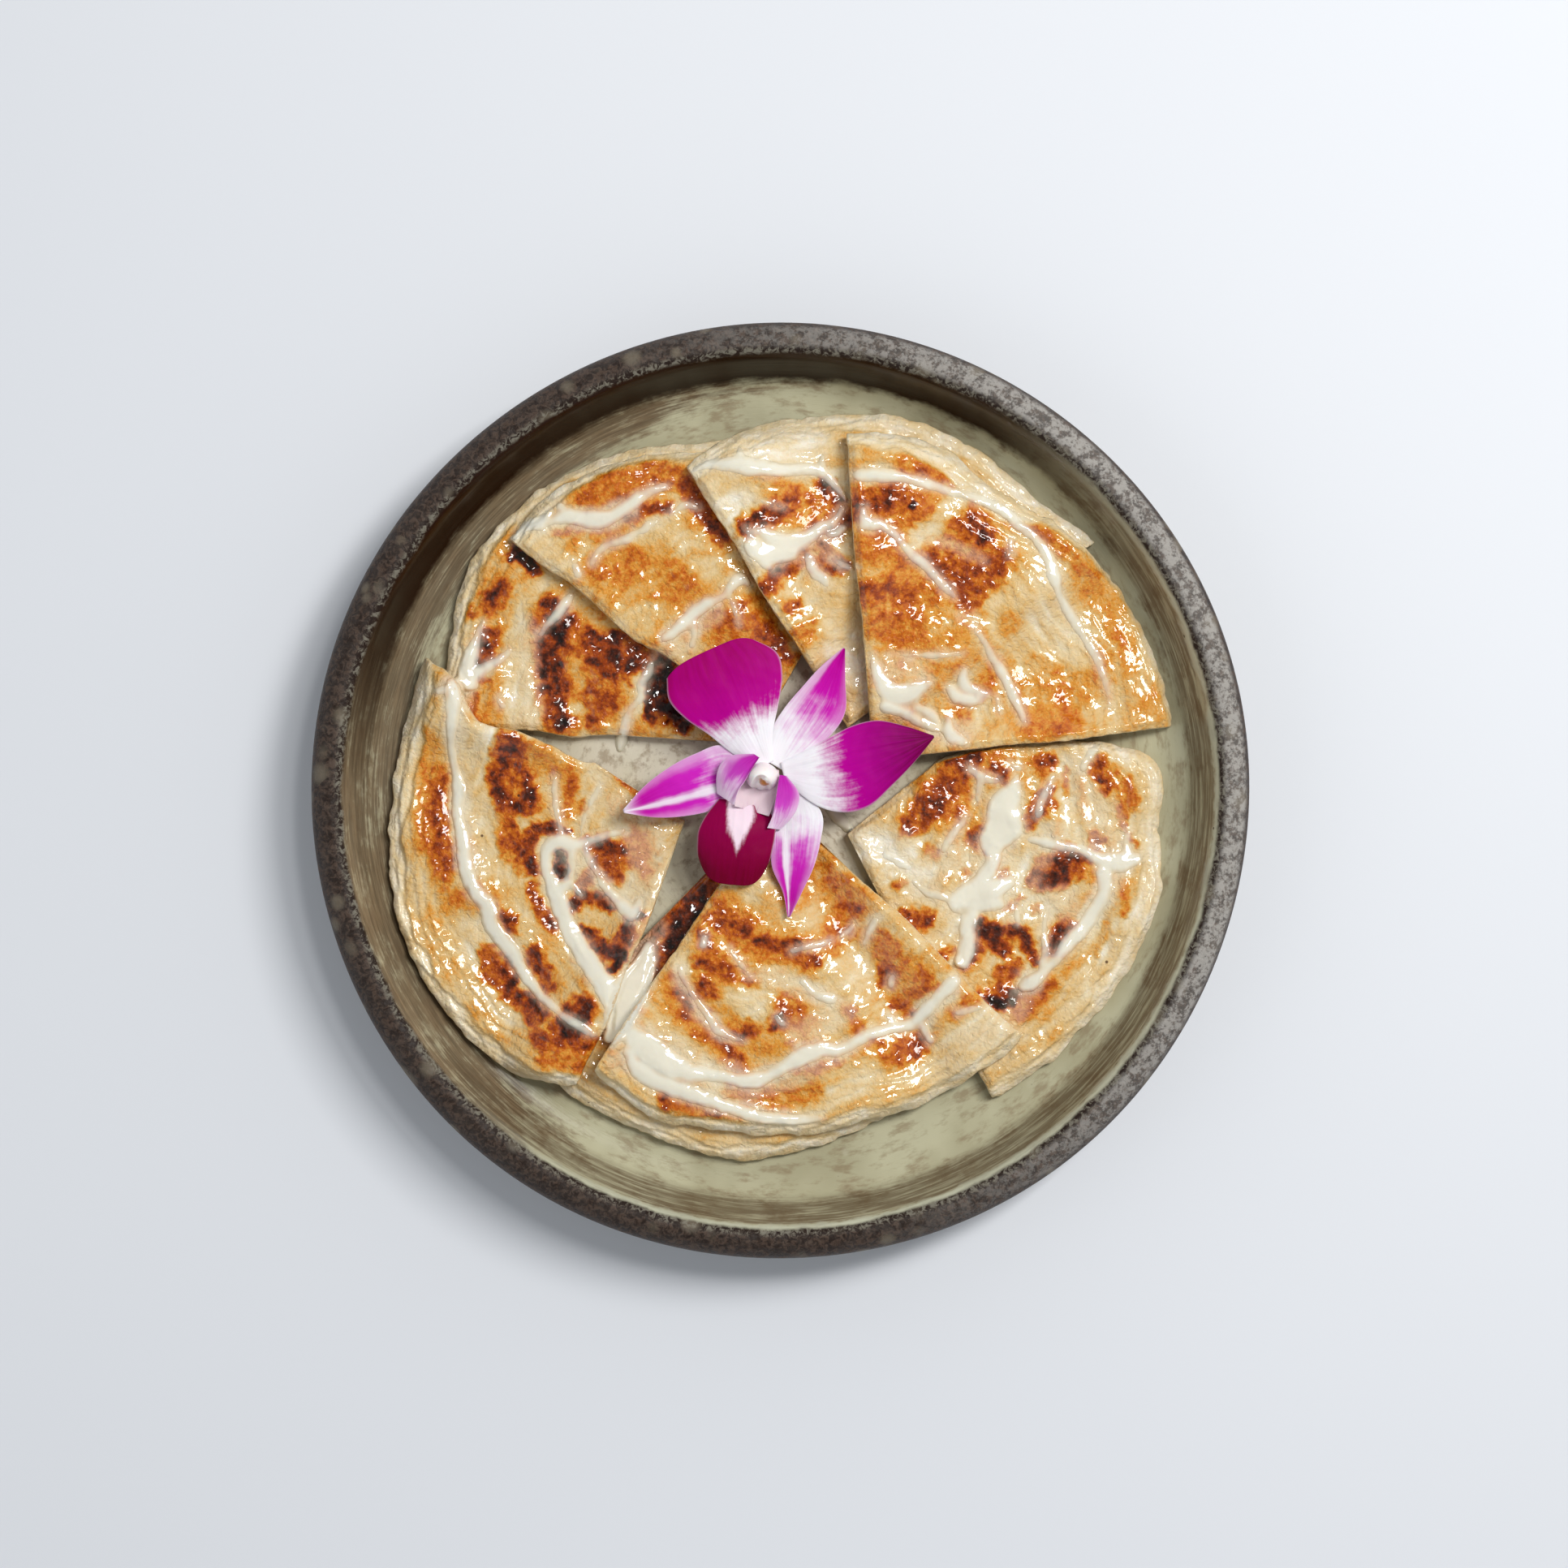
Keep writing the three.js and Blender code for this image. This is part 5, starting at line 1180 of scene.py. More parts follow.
class Graph:
    """Short ways to place and link the nodes of one tree."""

    def __init__(self, tree):
        self.nodes, self.links = tree.nodes, tree.links

    def feed(self, socket, value):
        if isinstance(value, bpy.types.NodeSocket):
            self.links.new(value, socket)
        elif value is not None:
            socket.default_value = value

    def add(self, kind, inputs=None, **settings):
        node = self.nodes.new("ShaderNode" + kind)
        for key, value in settings.items():
            setattr(node, key, value)
        for key, value in (inputs or {}).items():
            self.feed(node.inputs[key], value)
        return node

    def math(self, operation, *values, clamp=False):
        node = self.add("Math", operation=operation, use_clamp=clamp)
        for socket, value in zip(node.inputs, values):
            self.feed(socket, value)
        return node.outputs[0]

    def times(self, a, b, clamp=False):
        return self.math("MULTIPLY", a, b, clamp=clamp)

    def plus(self, a, b, clamp=False):
        return self.math("ADD", a, b, clamp=clamp)

    def minus(self, a, b):
        return self.math("SUBTRACT", a, b)

    def over(self, a, b):
        return self.math("DIVIDE", a, b)

    def swing(self, value, amount):
        """A value of 0 to 1 as a swing to either side of nothing."""
        return self.times(self.minus(value, 0.5), amount)

    def span(self, value, low, high, to_low=0.0, to_high=1.0, ease=True):
        """Carries the range from `low` to `high` over to another, without leaving it."""
        values = {0: value, 1: low, 2: high, 3: to_low, 4: to_high}
        kind = "SMOOTHSTEP" if ease else "LINEAR"
        return self.add("MapRange", values, interpolation_type=kind).outputs[0]

    def vector(self, operation, *values, result=0):
        node = self.add("VectorMath", dict(enumerate(values)), operation=operation)
        return node.outputs[result]

    def parts(self, vector):
        return self.add("SeparateXYZ", {0: vector}).outputs

    def mix(self, share, a, b):
        """From colour `a` to colour `b`."""
        node = self.add("Mix", data_type="RGBA")
        for index, value in ((0, share), (6, a), (7, b)):
            self.feed(node.inputs[index], value)
        return node.outputs[2]

    def blend(self, share, a, b):
        """From value `a` to value `b`."""
        node = self.add("Mix", data_type="FLOAT")
        for index, value in ((0, share), (2, a), (3, b)):
            self.feed(node.inputs[index], value)
        return node.outputs[0]

    def ramp(self, value, stops):
        node = self.add("ValToRGB", {"Fac": value})
        elements = node.color_ramp.elements
        while len(elements) < len(stops):
            elements.new(0.5)
        for element, (place, colour) in zip(elements, sorted(stops)):
            element.position, element.color = place, colour
        return node.outputs["Color"]

    def place(self):
        """Where the shaded point is on the object, in millimetres."""
        node = self.add("VectorMath", {0: self.add("TexCoord").outputs["Object"]}, operation="SCALE")
        node.inputs["Scale"].default_value = 1 / MM
        return node.outputs[0]

    def noise(self, place, size, detail=2.0, rough=0.5, warp=0.0):
        """Cloudy noise from 0 to 1, with lumps of `size` millimetres."""
        values = {"Scale": 1 / size, "Detail": detail, "Roughness": rough, "Distortion": warp}
        return self.add("TexNoise", {"Vector": place, **values}).outputs["Fac"]

    def layer(self, name):
        """A named value stored at the mesh's corners."""
        return self.add("Attribute", attribute_name=name).outputs["Fac"]

    def bump(self, height, distance, strength=1.0):
        """The normal of a fine relief, whose `distance` is in millimetres."""
        values = {"Height": height, "Distance": distance * MM, "Strength": strength}
        return self.add("Bump", values).outputs["Normal"]


def new_group(name, inputs, outputs):
    """A shader node group: its tree, its inner graph, and the sockets where values enter and leave."""
    tree = bpy.data.node_groups.new(name, "ShaderNodeTree")
    kinds = {"value": "NodeSocketFloat", "colour": "NodeSocketColor", "vector": "NodeSocketVector"}
    for socket, (kind, default) in inputs.items():
        made = tree.interface.new_socket(name=socket, in_out="INPUT", socket_type=kinds[kind])
        if default is not None:
            made.default_value = default
    for socket, kind in outputs.items():
        tree.interface.new_socket(name=socket, in_out="OUTPUT", socket_type=kinds[kind])
    graph = Graph(tree)
    source = tree.nodes.new("NodeGroupInput").outputs
    sink = tree.nodes.new("NodeGroupOutput").inputs
    return tree, graph, source, sink


def use_group(graph, tree, values):
    node = graph.nodes.new("ShaderNodeGroup")
    node.node_tree = tree
    for key, value in values.items():
        graph.feed(node.inputs[key], value)
    return node.outputs


def new_material(name, **plain):
    """A material with its plain values set on its shader, the material's graph and the shader's inputs."""
    material = bpy.data.materials.new(name)
    material.use_nodes = True
    graph = Graph(material.node_tree)
    shader = material.node_tree.nodes["Principled BSDF"]
    for key, value in plain.items():
        shader.inputs[key.replace("_", " ")].default_value = value
    return material, graph, shader.inputs


def dress(piece, material):
    piece.data.materials.append(material)


# ---- Finishes ----

# From raw dough to char, by how toasted it is.
TOAST_COLOURS = [
    (0.0, shade_of(243, 236, 218)),
    (0.14, shade_of(229, 207, 164)),
    (0.28, shade_of(222, 183, 118)),
    (0.4, shade_of(222, 152, 56)),
    (0.52, shade_of(202, 106, 18)),
    (0.66, shade_of(156, 62, 6)),
    (0.82, shade_of(86, 30, 5)),
    (1.0, shade_of(28, 13, 7)),
]


def browned_dough_group():
    """Colour and fine height of fried dough, from how toasted it is."""
    tree, graph, source, sink = new_group(
        "browned dough", {"Toast": ("value", 0.3)}, {"Color": "colour", "Height": "value"}
    )
    place = graph.place()
    mottle = graph.noise(place, 2.4, 5.0, 0.64, 0.6)
    freckle = graph.noise(place, 0.7, 2.0, 0.5)
    lively = graph.span(source["Toast"], 0.05, 0.6, 0.1, 0.42)
    shift = graph.swing(mottle, lively)
    fine = graph.swing(freckle, graph.times(lively, 0.7))
    toast = graph.plus(graph.plus(source["Toast"], shift), fine, clamp=True)
    graph.feed(sink["Color"], graph.ramp(toast, TOAST_COLOURS))
    ripple = graph.noise(place, 1.4, 3.0, 0.5, 0.8)
    rough = graph.plus(ripple, graph.times(freckle, 0.2))
    graph.feed(sink["Height"], graph.times(rough, graph.span(toast, 0.12, 0.5, 0.6, 1.0)))
    return tree


MILK_WHITE = shade_of(237, 232, 214)
MILKY_DOUGH = shade_of(230, 219, 194)
FLECK = shade_of(70, 34, 14)


def roti_material(dough, specks):
    material, graph, shader = new_material(
        "fried roti", Subsurface_Weight=0.08, Subsurface_Scale=0.001, Coat_Roughness=0.04,
        Specular_IOR_Level=0.12,
    )
    shader["Subsurface Radius"].default_value = (1.0, 0.55, 0.25)
    toast, film, skin = graph.layer("toast"), graph.layer("film"), graph.layer("skin")
    look = use_group(graph, dough, {"Toast": toast})
    milky = graph.times(film, graph.span(toast, 0.95, 0.4, 0.35, 0.62))
    bread = graph.mix(milky, look["Color"], MILKY_DOUGH)
    flecks = use_group(graph, specks, {"Spacing": 9.0, "Speck": 0.045, "Rarity": 0.62})
    graph.feed(shader["Base Color"], graph.mix(graph.times(flecks["Specks"], 0.85), bread, FLECK))
    patches = graph.noise(graph.place(), 7.0, 2.0, 0.5)
    oily = graph.times(graph.span(patches, 0.3, 0.58, 0.6, 1.0), graph.span(skin, 0.0, 1.0, 0.6, 1.0))
    wet = graph.math("MAXIMUM", oily, film)
    graph.feed(shader["Roughness"], graph.span(wet, 0.0, 1.0, 0.5, 0.3))
    graph.feed(shader["Coat Weight"], wet)
    graph.feed(shader["Normal"], graph.bump(look["Height"], 0.7))
    return material


def milk_material(dough):
    material, graph, shader = new_material(
        "sweet milk", Subsurface_Weight=0.15, Subsurface_Scale=0.002, Roughness=0.12, Coat_Weight=1.0,
        Coat_Roughness=0.03, Specular_IOR_Level=0.5,
    )
    shader["Subsurface Radius"].default_value = (1.0, 0.8, 0.55)
    look = use_group(graph, dough, {"Toast": graph.math("MAXIMUM", graph.layer("toast"), 0.0)})
    plate = graph.math("LESS_THAN", graph.layer("toast"), -0.5)
    below = graph.mix(plate, look["Color"], GLAZE_UNDER_MILK)
    cover = graph.span(graph.layer("cover"), 0.0, 1.0, 0.3, 0.96, ease=False)
    graph.feed(shader["Base Color"], graph.mix(cover, below, MILK_WHITE))
    return material


CELADON = shade_of(192, 189, 160)
CELADON_CLOUD = shade_of(172, 167, 138)
GLAZE_UNDER_MILK = shade_of(172, 166, 140)
THIN_MILK = shade_of(226, 219, 204)
IRON_SMUDGE = shade_of(132, 110, 82)
BRUSHED_THIN = shade_of(124, 104, 79)
BRUSHED_THICK = shade_of(90, 72, 53)
# dark iron, darkened further as painted shade on the north wall, which faces away from the light
NORTH_SHADE_BAND = shade_of(36, 17, 5)
# brown streaks, darkened further as painted shade on the south-east wall under its lip
WALL_STAIN_AND_SHADE = shade_of(98, 80, 58)
# pale glaze lip, brightened further as a painted highlight
WALL_LIP_AND_HIGHLIGHT = shade_of(186, 190, 172)
SPECK_HALO = shade_of(214, 212, 190)
GLAZE_SPECK = shade_of(62, 46, 34)
IRON_DARK = shade_of(36, 24, 18)
IRON_LIGHT = shade_of(76, 60, 50)
IRON_BLOOM = shade_of(114, 104, 88)
# painted sheen: a pale silvery tone for the window light reflected by the east side of the rim
WINDOW_SHEEN = shade_of(168, 164, 158)
# painted highlight: a pale speckled line along the inner crest of the rim
CREST_HIGHLIGHT = shade_of(146, 146, 132)

# Plan directions in which the plate's sides differ, in glaze and in painted light and shade.
WEST, NORTH, SOUTH_EAST, EAST = (-0.97, 0.24), (-0.3, 0.95), (0.75, -0.66), (0.96, 0.28)

GLAZE_EDGE = 106.6  # radius at which the pale glaze gives way to the dark rim
RIM_ALL = 109.0  # radius from which all is rim
OUTSIDE_BELOW = 6.2  # height under which all is outside, since the floor inside is higher
MILKY_MIDDLE = (-14.0, 4.0, FLOOR_LEVEL)  # where thin milk has run over the floor, under the flower


def ring_place(graph, place, around, across):
    """A noise place drawn out round the plate to lengths of `around` and `across`, and the radius."""
    flat = graph.vector("MULTIPLY", place, (1, 1, 0))
    radius = graph.vector("LENGTH", flat, result="Value")
    direction = graph.parts(graph.vector("NORMALIZE", flat))
    values = {k: graph.times(direction[k], 100 / around) for k in (0, 1)}
    return graph.add("CombineXYZ", {**values, 2: graph.over(radius, across)}).outputs[0], radius


def speckle_group():
    """Scattered grains: a mask of round specks and their softer halos."""
    tree, graph, source, sink = new_group(
        "glaze specks",
        {"Spacing": ("value", 7.0), "Speck": ("value", 0.05), "Rarity": ("value", 0.5)},
        {"Specks": "value", "Halos": "value"},
    )
    place = graph.place()
    cells = graph.add("TexVoronoi", {"Vector": place, "Scale": graph.over(1.0, source["Spacing"])})
    chance = graph.add("SeparateColor", {0: cells.outputs["Color"]}).outputs[0]
    chosen = graph.math("GREATER_THAN", chance, source["Rarity"])
    size = graph.times(source["Speck"], graph.plus(chance, 0.3))
    dot = graph.span(cells.outputs["Distance"], size, graph.times(size, 0.55))
    halo = graph.span(cells.outputs["Distance"], graph.times(size, 3.4), size)
    graph.feed(sink["Specks"], graph.times(dot, chosen))
    graph.feed(sink["Halos"], graph.times(halo, chosen))
    return tree


def facing(graph, place, direction):
    """How far a spot on the plate lies towards a plan direction, from -1 to 1."""
    unit = graph.vector("NORMALIZE", graph.vector("MULTIPLY", place, (1, 1, 0)))
    return graph.vector("DOT_PRODUCT", unit, (*direction, 0), result="Value")


def floor_glaze(graph, place, smudge):
    """Pale celadon, cloudy, smudged with iron, and milky under the flower."""
    cloud = graph.noise(place, 24.0, 3.0, 0.55)
    floor = graph.mix(graph.span(cloud, 0.35, 0.66), CELADON, CELADON_CLOUD)
    middle = graph.vector("DISTANCE", place, MILKY_MIDDLE, result="Value")
    haze = graph.times(graph.span(middle, 62.0, 26.0), graph.span(cloud, 0.3, 0.6, 0.35, 0.75))
    floor = graph.mix(haze, floor, THIN_MILK)
    return graph.mix(graph.span(smudge, 0.47, 0.68, 0.0, 0.55), floor, IRON_SMUDGE)


def brushed_wall(graph, place, glaze, radius, smudge, hair):
    """Iron brushed round the wall over a glaze, reaching farther in to the west."""
    west = graph.span(facing(graph, place, WEST), 0.0, 0.8)
    start = graph.minus(99.0, graph.times(west, 8.0))
    zone = graph.span(graph.minus(radius, start), -3.0, 6.0)
    strokes = graph.plus(graph.times(hair, 0.4), graph.times(smudge, 0.6))
    level = graph.minus(0.62, graph.times(zone, graph.span(west, 0.0, 1.0, 0.13, 0.36)))
    brown = graph.times(graph.minus(strokes, level), 5.0, clamp=True)
    brown = graph.times(brown, graph.times(zone, 0.88))
    return graph.mix(brown, glaze, graph.mix(graph.span(hair, 0.35, 0.62), BRUSHED_THIN, BRUSHED_THICK))


def banded_wall(graph, place, glaze, blurry, hair):
    """The dark band of the north wall, partly dark iron and partly painted shade, and the brown streaks with
    painted shade under the pale lip of the south-east wall, a lip that is partly a painted highlight.
    """
    # painted shade over dark iron along the north wall
    north = graph.span(facing(graph, place, NORTH), 0.2, 0.7)
    glaze = graph.mix(graph.times(graph.span(blurry, 100.6, 102.6), north), glaze, NORTH_SHADE_BAND)
    # brown streaks with painted shade below the lip, and a pale lip that is partly a painted highlight, on
    # the south-east wall
    south_east = graph.span(facing(graph, place, SOUTH_EAST), -0.2, 0.4)
    stain_and_shade = graph.times(graph.span(blurry, 99.6, 102.6), graph.span(blurry, 106.2, 105.2))
    stain_and_shade = graph.times(stain_and_shade, graph.span(hair, 0.32, 0.58, 0.3, 0.85))
    glaze = graph.mix(graph.times(stain_and_shade, south_east), glaze, WALL_STAIN_AND_SHADE)
    lip = graph.times(graph.span(blurry, 105.3, 106.1), south_east)
    return graph.mix(graph.times(lip, 0.6), glaze, WALL_LIP_AND_HIGHLIGHT)


def brushed_glaze(graph, place, specks):
    """The glaze inside the plate, the radius, and the fine noise of its brush strokes."""
    soft, radius = ring_place(graph, place, 8.0, 2.6)
    fine, _ = ring_place(graph, place, 16.0, 0.42)
    smudge = graph.noise(soft, 1.0, 4.0, 0.66)
    hair = graph.noise(fine, 1.0, 3.0, 0.7)
    glaze = brushed_wall(graph, place, floor_glaze(graph, place, smudge), radius, smudge, hair)
    blurry = graph.plus(radius, graph.swing(smudge, 2.6))
    glaze = banded_wall(graph, place, glaze, blurry, hair)
    dots = use_group(graph, specks, {"Spacing": 9.0, "Speck": 0.05, "Rarity": 0.5})
    halos = graph.times(dots["Halos"], graph.span(radius, 98.0, 92.0, 0.0, 0.35))
    glaze = graph.mix(halos, glaze, SPECK_HALO)
    return graph.mix(graph.times(dots["Specks"], 0.85), glaze, GLAZE_SPECK), radius, hair


def iron_rim(graph, place, radius, grain, specks):
    """Dark iron clay, with round pale blooms, and a painted sheen of the window light on its east side."""
    iron = graph.mix(graph.span(grain, 0.42, 0.62), IRON_DARK, IRON_LIGHT)
    blooms = use_group(graph, specks, {"Spacing": 7.0, "Speck": 0.12, "Rarity": 0.35})
    iron = graph.mix(graph.times(blooms["Halos"], 0.7), iron, IRON_BLOOM)
    # painted sheen: lighter towards the east, where the window light is
    sheen_side = graph.span(facing(graph, place, EAST), -0.15, 0.85, 0.05, 1.0)
    zone = graph.times(graph.span(radius, 107.2, 109.0), graph.span(radius, 114.2, 112.6))
    dust = graph.noise(place, 0.8, 4.0, 0.7)
    cloud = graph.noise(place, 2.4, 3.0, 0.55)
    mottle = graph.plus(graph.times(dust, 0.5), graph.times(cloud, 0.5))
    sheen = graph.times(graph.span(mottle, 0.42, 0.56, 0.25, 1.0), sheen_side)
    return graph.mix(graph.times(sheen, graph.times(zone, 0.85)), iron, WINDOW_SHEEN)


def plate_material(specks):
    """Brushed celadon over the inside of the plate, and dark iron on its rim and outside."""
    material, graph, shader = new_material("celadon and iron stoneware", Specular_IOR_Level=0.16)
    place = graph.place()
    glaze, radius, hair = brushed_glaze(graph, place, specks)
    edge = graph.plus(radius, graph.swing(graph.noise(place, 9.0, 3.0, 0.6), 1.6))
    rim = graph.span(edge, GLAZE_EDGE - 0.4, GLAZE_EDGE + 0.4)
    rim = graph.math("MAXIMUM", rim, graph.math("GREATER_THAN", radius, RIM_ALL))
    rim = graph.math("MAXIMUM", rim, graph.math("LESS_THAN", graph.parts(place)[2], OUTSIDE_BELOW))
    grain = graph.noise(place, 1.4, 4.0, 0.7, 0.8)
    iron = iron_rim(graph, place, radius, grain, specks)
    # painted highlight along the inner crest of the rim, broken up by the grain
    crest_highlight = graph.times(graph.span(edge, GLAZE_EDGE + 2.2, GLAZE_EDGE + 0.8), graph.span(grain, 0.46, 0.6))
    iron = graph.mix(graph.times(crest_highlight, 0.5), iron, CREST_HIGHLIGHT)
    graph.feed(shader["Base Color"], graph.mix(rim, glaze, iron))
    graph.feed(shader["Roughness"], graph.blend(rim, 0.2, graph.span(grain, 0.4, 0.7, 0.4, 0.6)))
    relief = graph.blend(rim, graph.times(hair, 0.18), grain)
    graph.feed(shader["Normal"], graph.bump(relief, 0.55, 0.6))
    return material


# ---- Plate ----

def rounded_profile(stations, times=3):
    """A profile with its corners cut back, again and again, between its two fixed ends."""
    points = np.array(stations, float)
    for _ in range(times):
        a, b = points[:-1], points[1:]
        cut = np.stack([0.75 * a + 0.25 * b, 0.25 * a + 0.75 * b], 1).reshape(-1, 2)
        points = np.concatenate([points[:1], cut, points[-1:]])
    return points


def plate_profile():
    """The plate's section from the middle of its floor to the middle of its underside."""
    bent = rounded_profile([*PLATE_INSIDE[1:], *PLATE_OUTSIDE[:-1]])
    floor = [(radius, FLOOR_LEVEL) for radius in np.linspace(0.5, 88, 60)]
    under = [(radius, UNDER_LEVEL) for radius in (50, 25, 0.5)]
    return np.array([*floor, *bent, *under])


PLATE_SEGMENTS = 256
UNDER_LEVEL = 2  # height of the underside inside the foot ring
PLATE_TOP = 25.95  # just under the solid's height
RING_PITCH = 1.7  # of the throwing rings, for each radian of their wave


def plate_piece():
    """The hand-thrown plate: turned from its section, a little out of true, with throwing rings."""
    section = plate_profile()
    rows = len(section)
    turn = np.linspace(0, 2 * np.pi, PLATE_SEGMENTS, endpoint=False)
    radius, height = (np.repeat(values[:, None], PLATE_SEGMENTS, 1) for values in section.T)
    outer = smooth(radius, 90, 106)
    radius = radius + outer * (0.22 * np.sin(2 * turn + 0.6) + 0.14 * np.sin(5 * turn) - 0.25)
    inside = (np.arange(rows) < rows // 2)[:, None]
    rings = 0.07 * np.sin(radius / RING_PITCH + turn) * smooth(radius, 4, 20) * smooth(radius, 106, 100)
    height = height + np.where(inside, rings, 0) + outer * 0.12 * np.sin(3 * turn + 1)
    x, y, z = radius * np.cos(turn), radius * np.sin(turn), np.clip(height, 0, PLATE_TOP)
    middles = [[0, 0, FLOOR_LEVEL], [0, 0, UNDER_LEVEL]]
    corners = np.concatenate([np.stack([x, y, z], 2).reshape(-1, 3), middles])
    piece = mesh_piece("stoneware_plate", corners, turned_faces(rows, PLATE_SEGMENTS))
    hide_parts("plate")
    return piece


# ---- Orchid ----

# Each blade's root and tip in plan, rise along its middle, cup and lean across it, bow of its end, and half
# widths to the left and right of its middle, from the root to the tip.
BLADES = [
    dict(name="orchid_dorsal_sepal", kind="dorsal", root=(-1, 6), tip=(15.6, 34.9), rise=[0, 0.5, 1], cup=0.8,
         left=[2, 5.4, 5.4, 4.2, 2.7, 0.3], right=[2, 5.3, 7.8, 8, 4.2, 0.3]),
    dict(name="orchid_left_sepal", kind="west_sepal", root=(-5, 4.5), tip=(-38.4, -5), rise=[0, 0.5, 1],
         cup=0.8, left=[2, 4.6, 5.7, 5.2, 3.5, 0.4], right=[3, 8.9, 8.8, 7.4, 4.7, 0.4]),
    dict(name="orchid_right_sepal", kind="south_sepal", root=(1.5, 0), tip=(2.1, -30.9), rise=[0, 0.5, 0.5],
         cup=0.8, left=[5, 8.7, 8.1, 6.4, 3.4, 0.3], right=[3, 4, 4, 3.9, 1.4, 0.3]),
    dict(name="orchid_left_petal", kind="petal", root=(-3.5, 6.5), tip=(-16.3, 35),
         rise=[1.4, 2.6, 3.2, 2.6], cup=-0.6, bow=0.07,
         left=[2.5, 6.7, 9.8, 13.4, 15.2, 13.6], right=[2, 4.6, 8.9, 12.6, 13.6, 9.8]),
    dict(name="orchid_right_petal", kind="east_petal", root=(0.5, 5), tip=(37.6, 13.3),
         rise=[1.4, 2.4, 2.6, 1.6], cup=-0.6,
         left=[2, 3.6, 5.3, 6.9, 6.9, 4.1, 0.3], right=[3, 10.2, 13.3, 13.1, 9.5, 5.3, 0.3]),
    dict(name="orchid_lip", kind="lip", root=(-9.5, -2.4), tip=(-11.3, -23), rise=[2.6, 5, 5.4, 4.6, 2.6],
         cup=-1.6, bow=0.3, left=[5, 8.6, 8.9, 8.6, 8.3, 8], right=[5.5, 8.2, 9.8, 9.9, 9.7, 9.4]),
    dict(name="orchid_throat", kind="throat", root=(-3.6, 6), tip=(-6.8, -5), rise=[1.6, 1.8, 3.2], cup=1.6,
         left=[3.4, 4.4, 4.6, 4.2], right=[3.4, 4.6, 5, 4.6]),
    dict(name="orchid_left_lobe", kind="lobe", root=(-12.5, -2.6), tip=(-5.3, 8.3), rise=[4, 6.4, 6.6, 5],
         cup=-0.6, left=[3.6, 5.9, 6.8, 5.6, 1.5], right=[1.5, 0.5, 0.5, 0.3, 0.3], lean=-2.2),
    dict(name="orchid_right_lobe", kind="lobe", root=(-2, -9.2), tip=(0.1, 3.9), rise=[4, 6.2, 6.4, 5],
         cup=-0.6, left=[1.2, 0.4, 0.3, 0.3, 0.3], right=[2, 4.3, 5.4, 4.9, 1.5], lean=2.2),
]
BLADE_ROWS, BLADE_COLUMNS = 72, 44


MIDRIB_DEPTH, MIDRIB_WIDTH = 0.12, 0.55
VEIN_HEIGHT = 0.05
PETAL_DRAPE = 3  # how far a petal spans across a step in the bread below it
LEAST_PETAL = 0.12  # thickness that is left at the margins


def blade_relief(share, across, half):
    """The veins that fan out over a blade and the groove along its middle."""
    fan = across * (6 + 5 * share)
    vein = VEIN_HEIGHT * np.cos(2 * np.pi * fan) * smooth(share, 0.02, 0.3) * (1 - np.abs(across) ** 3)
    groove = -MIDRIB_DEPTH * np.exp(-((across * half / MIDRIB_WIDTH) ** 2)) * smooth(share, 0.0, 0.15)
    return vein, groove


def blade_piece(blade, bread, seed):
    """One petal, sepal or lobe: a thin wavy sheet with a midrib and soft veins."""
    root, tip = np.array(blade["root"], float), np.array(blade["tip"], float)
    run = tip - root
    length = np.hypot(*run)
    aside = np.array([-run[1], run[0]]) / length
    lengthwise, sideways = np.linspace(0, 1, BLADE_ROWS), np.linspace(1, -1, BLADE_COLUMNS)
    share, across = np.meshgrid(lengthwise, sideways, indexing="ij")
    half = np.where(across > 0, along(blade["left"], share), along(blade["right"], share))
    reach = share - blade.get("bow", 0) * across**4 * share**3
    x = root[0] + run[0] * reach + aside[0] * across * half
    y = root[1] + run[1] * reach + aside[1] * across * half
    wave = 0.3 * across * np.sin(7 * share + 2 * across)
    lean = blade.get("lean", 0) * across
    own = FLOWER_LEVEL + along(blade["rise"], share) + blade["cup"] * across**2 + lean + wave
    under = np.maximum(own, bread.at(x, y) + PETAL_REST)
    vein, groove = blade_relief(share, across, half)
    ripple = 0.22 * noise(x, y, 6.5, 300 + seed) + 0.07 * noise(x, y, 2.2, 320 + seed)
    thick = PETAL_BODY * (1 - 0.55 * np.abs(across) ** 4)
    over = under + thick + vein + groove + ripple
    under = under + np.minimum(ripple, 0) * 0.5
    heights = np.maximum(over, under + LEAST_PETAL), under
    corners = np.concatenate([np.stack([x, y, z], 2).reshape(-1, 3) for z in heights])
    index = np.arange(share.size).reshape(share.shape)
    quads = np.stack([index[1:, :-1], index[1:, 1:], index[:-1, 1:], index[:-1, :-1]], 2).reshape(-1, 4)
    layers = {"share": np.tile(share.ravel(), 2), "across": np.tile(across.ravel(), 2)}
    return mesh_piece(blade["name"], corners, closed_sheet(quads, share.size), layers)


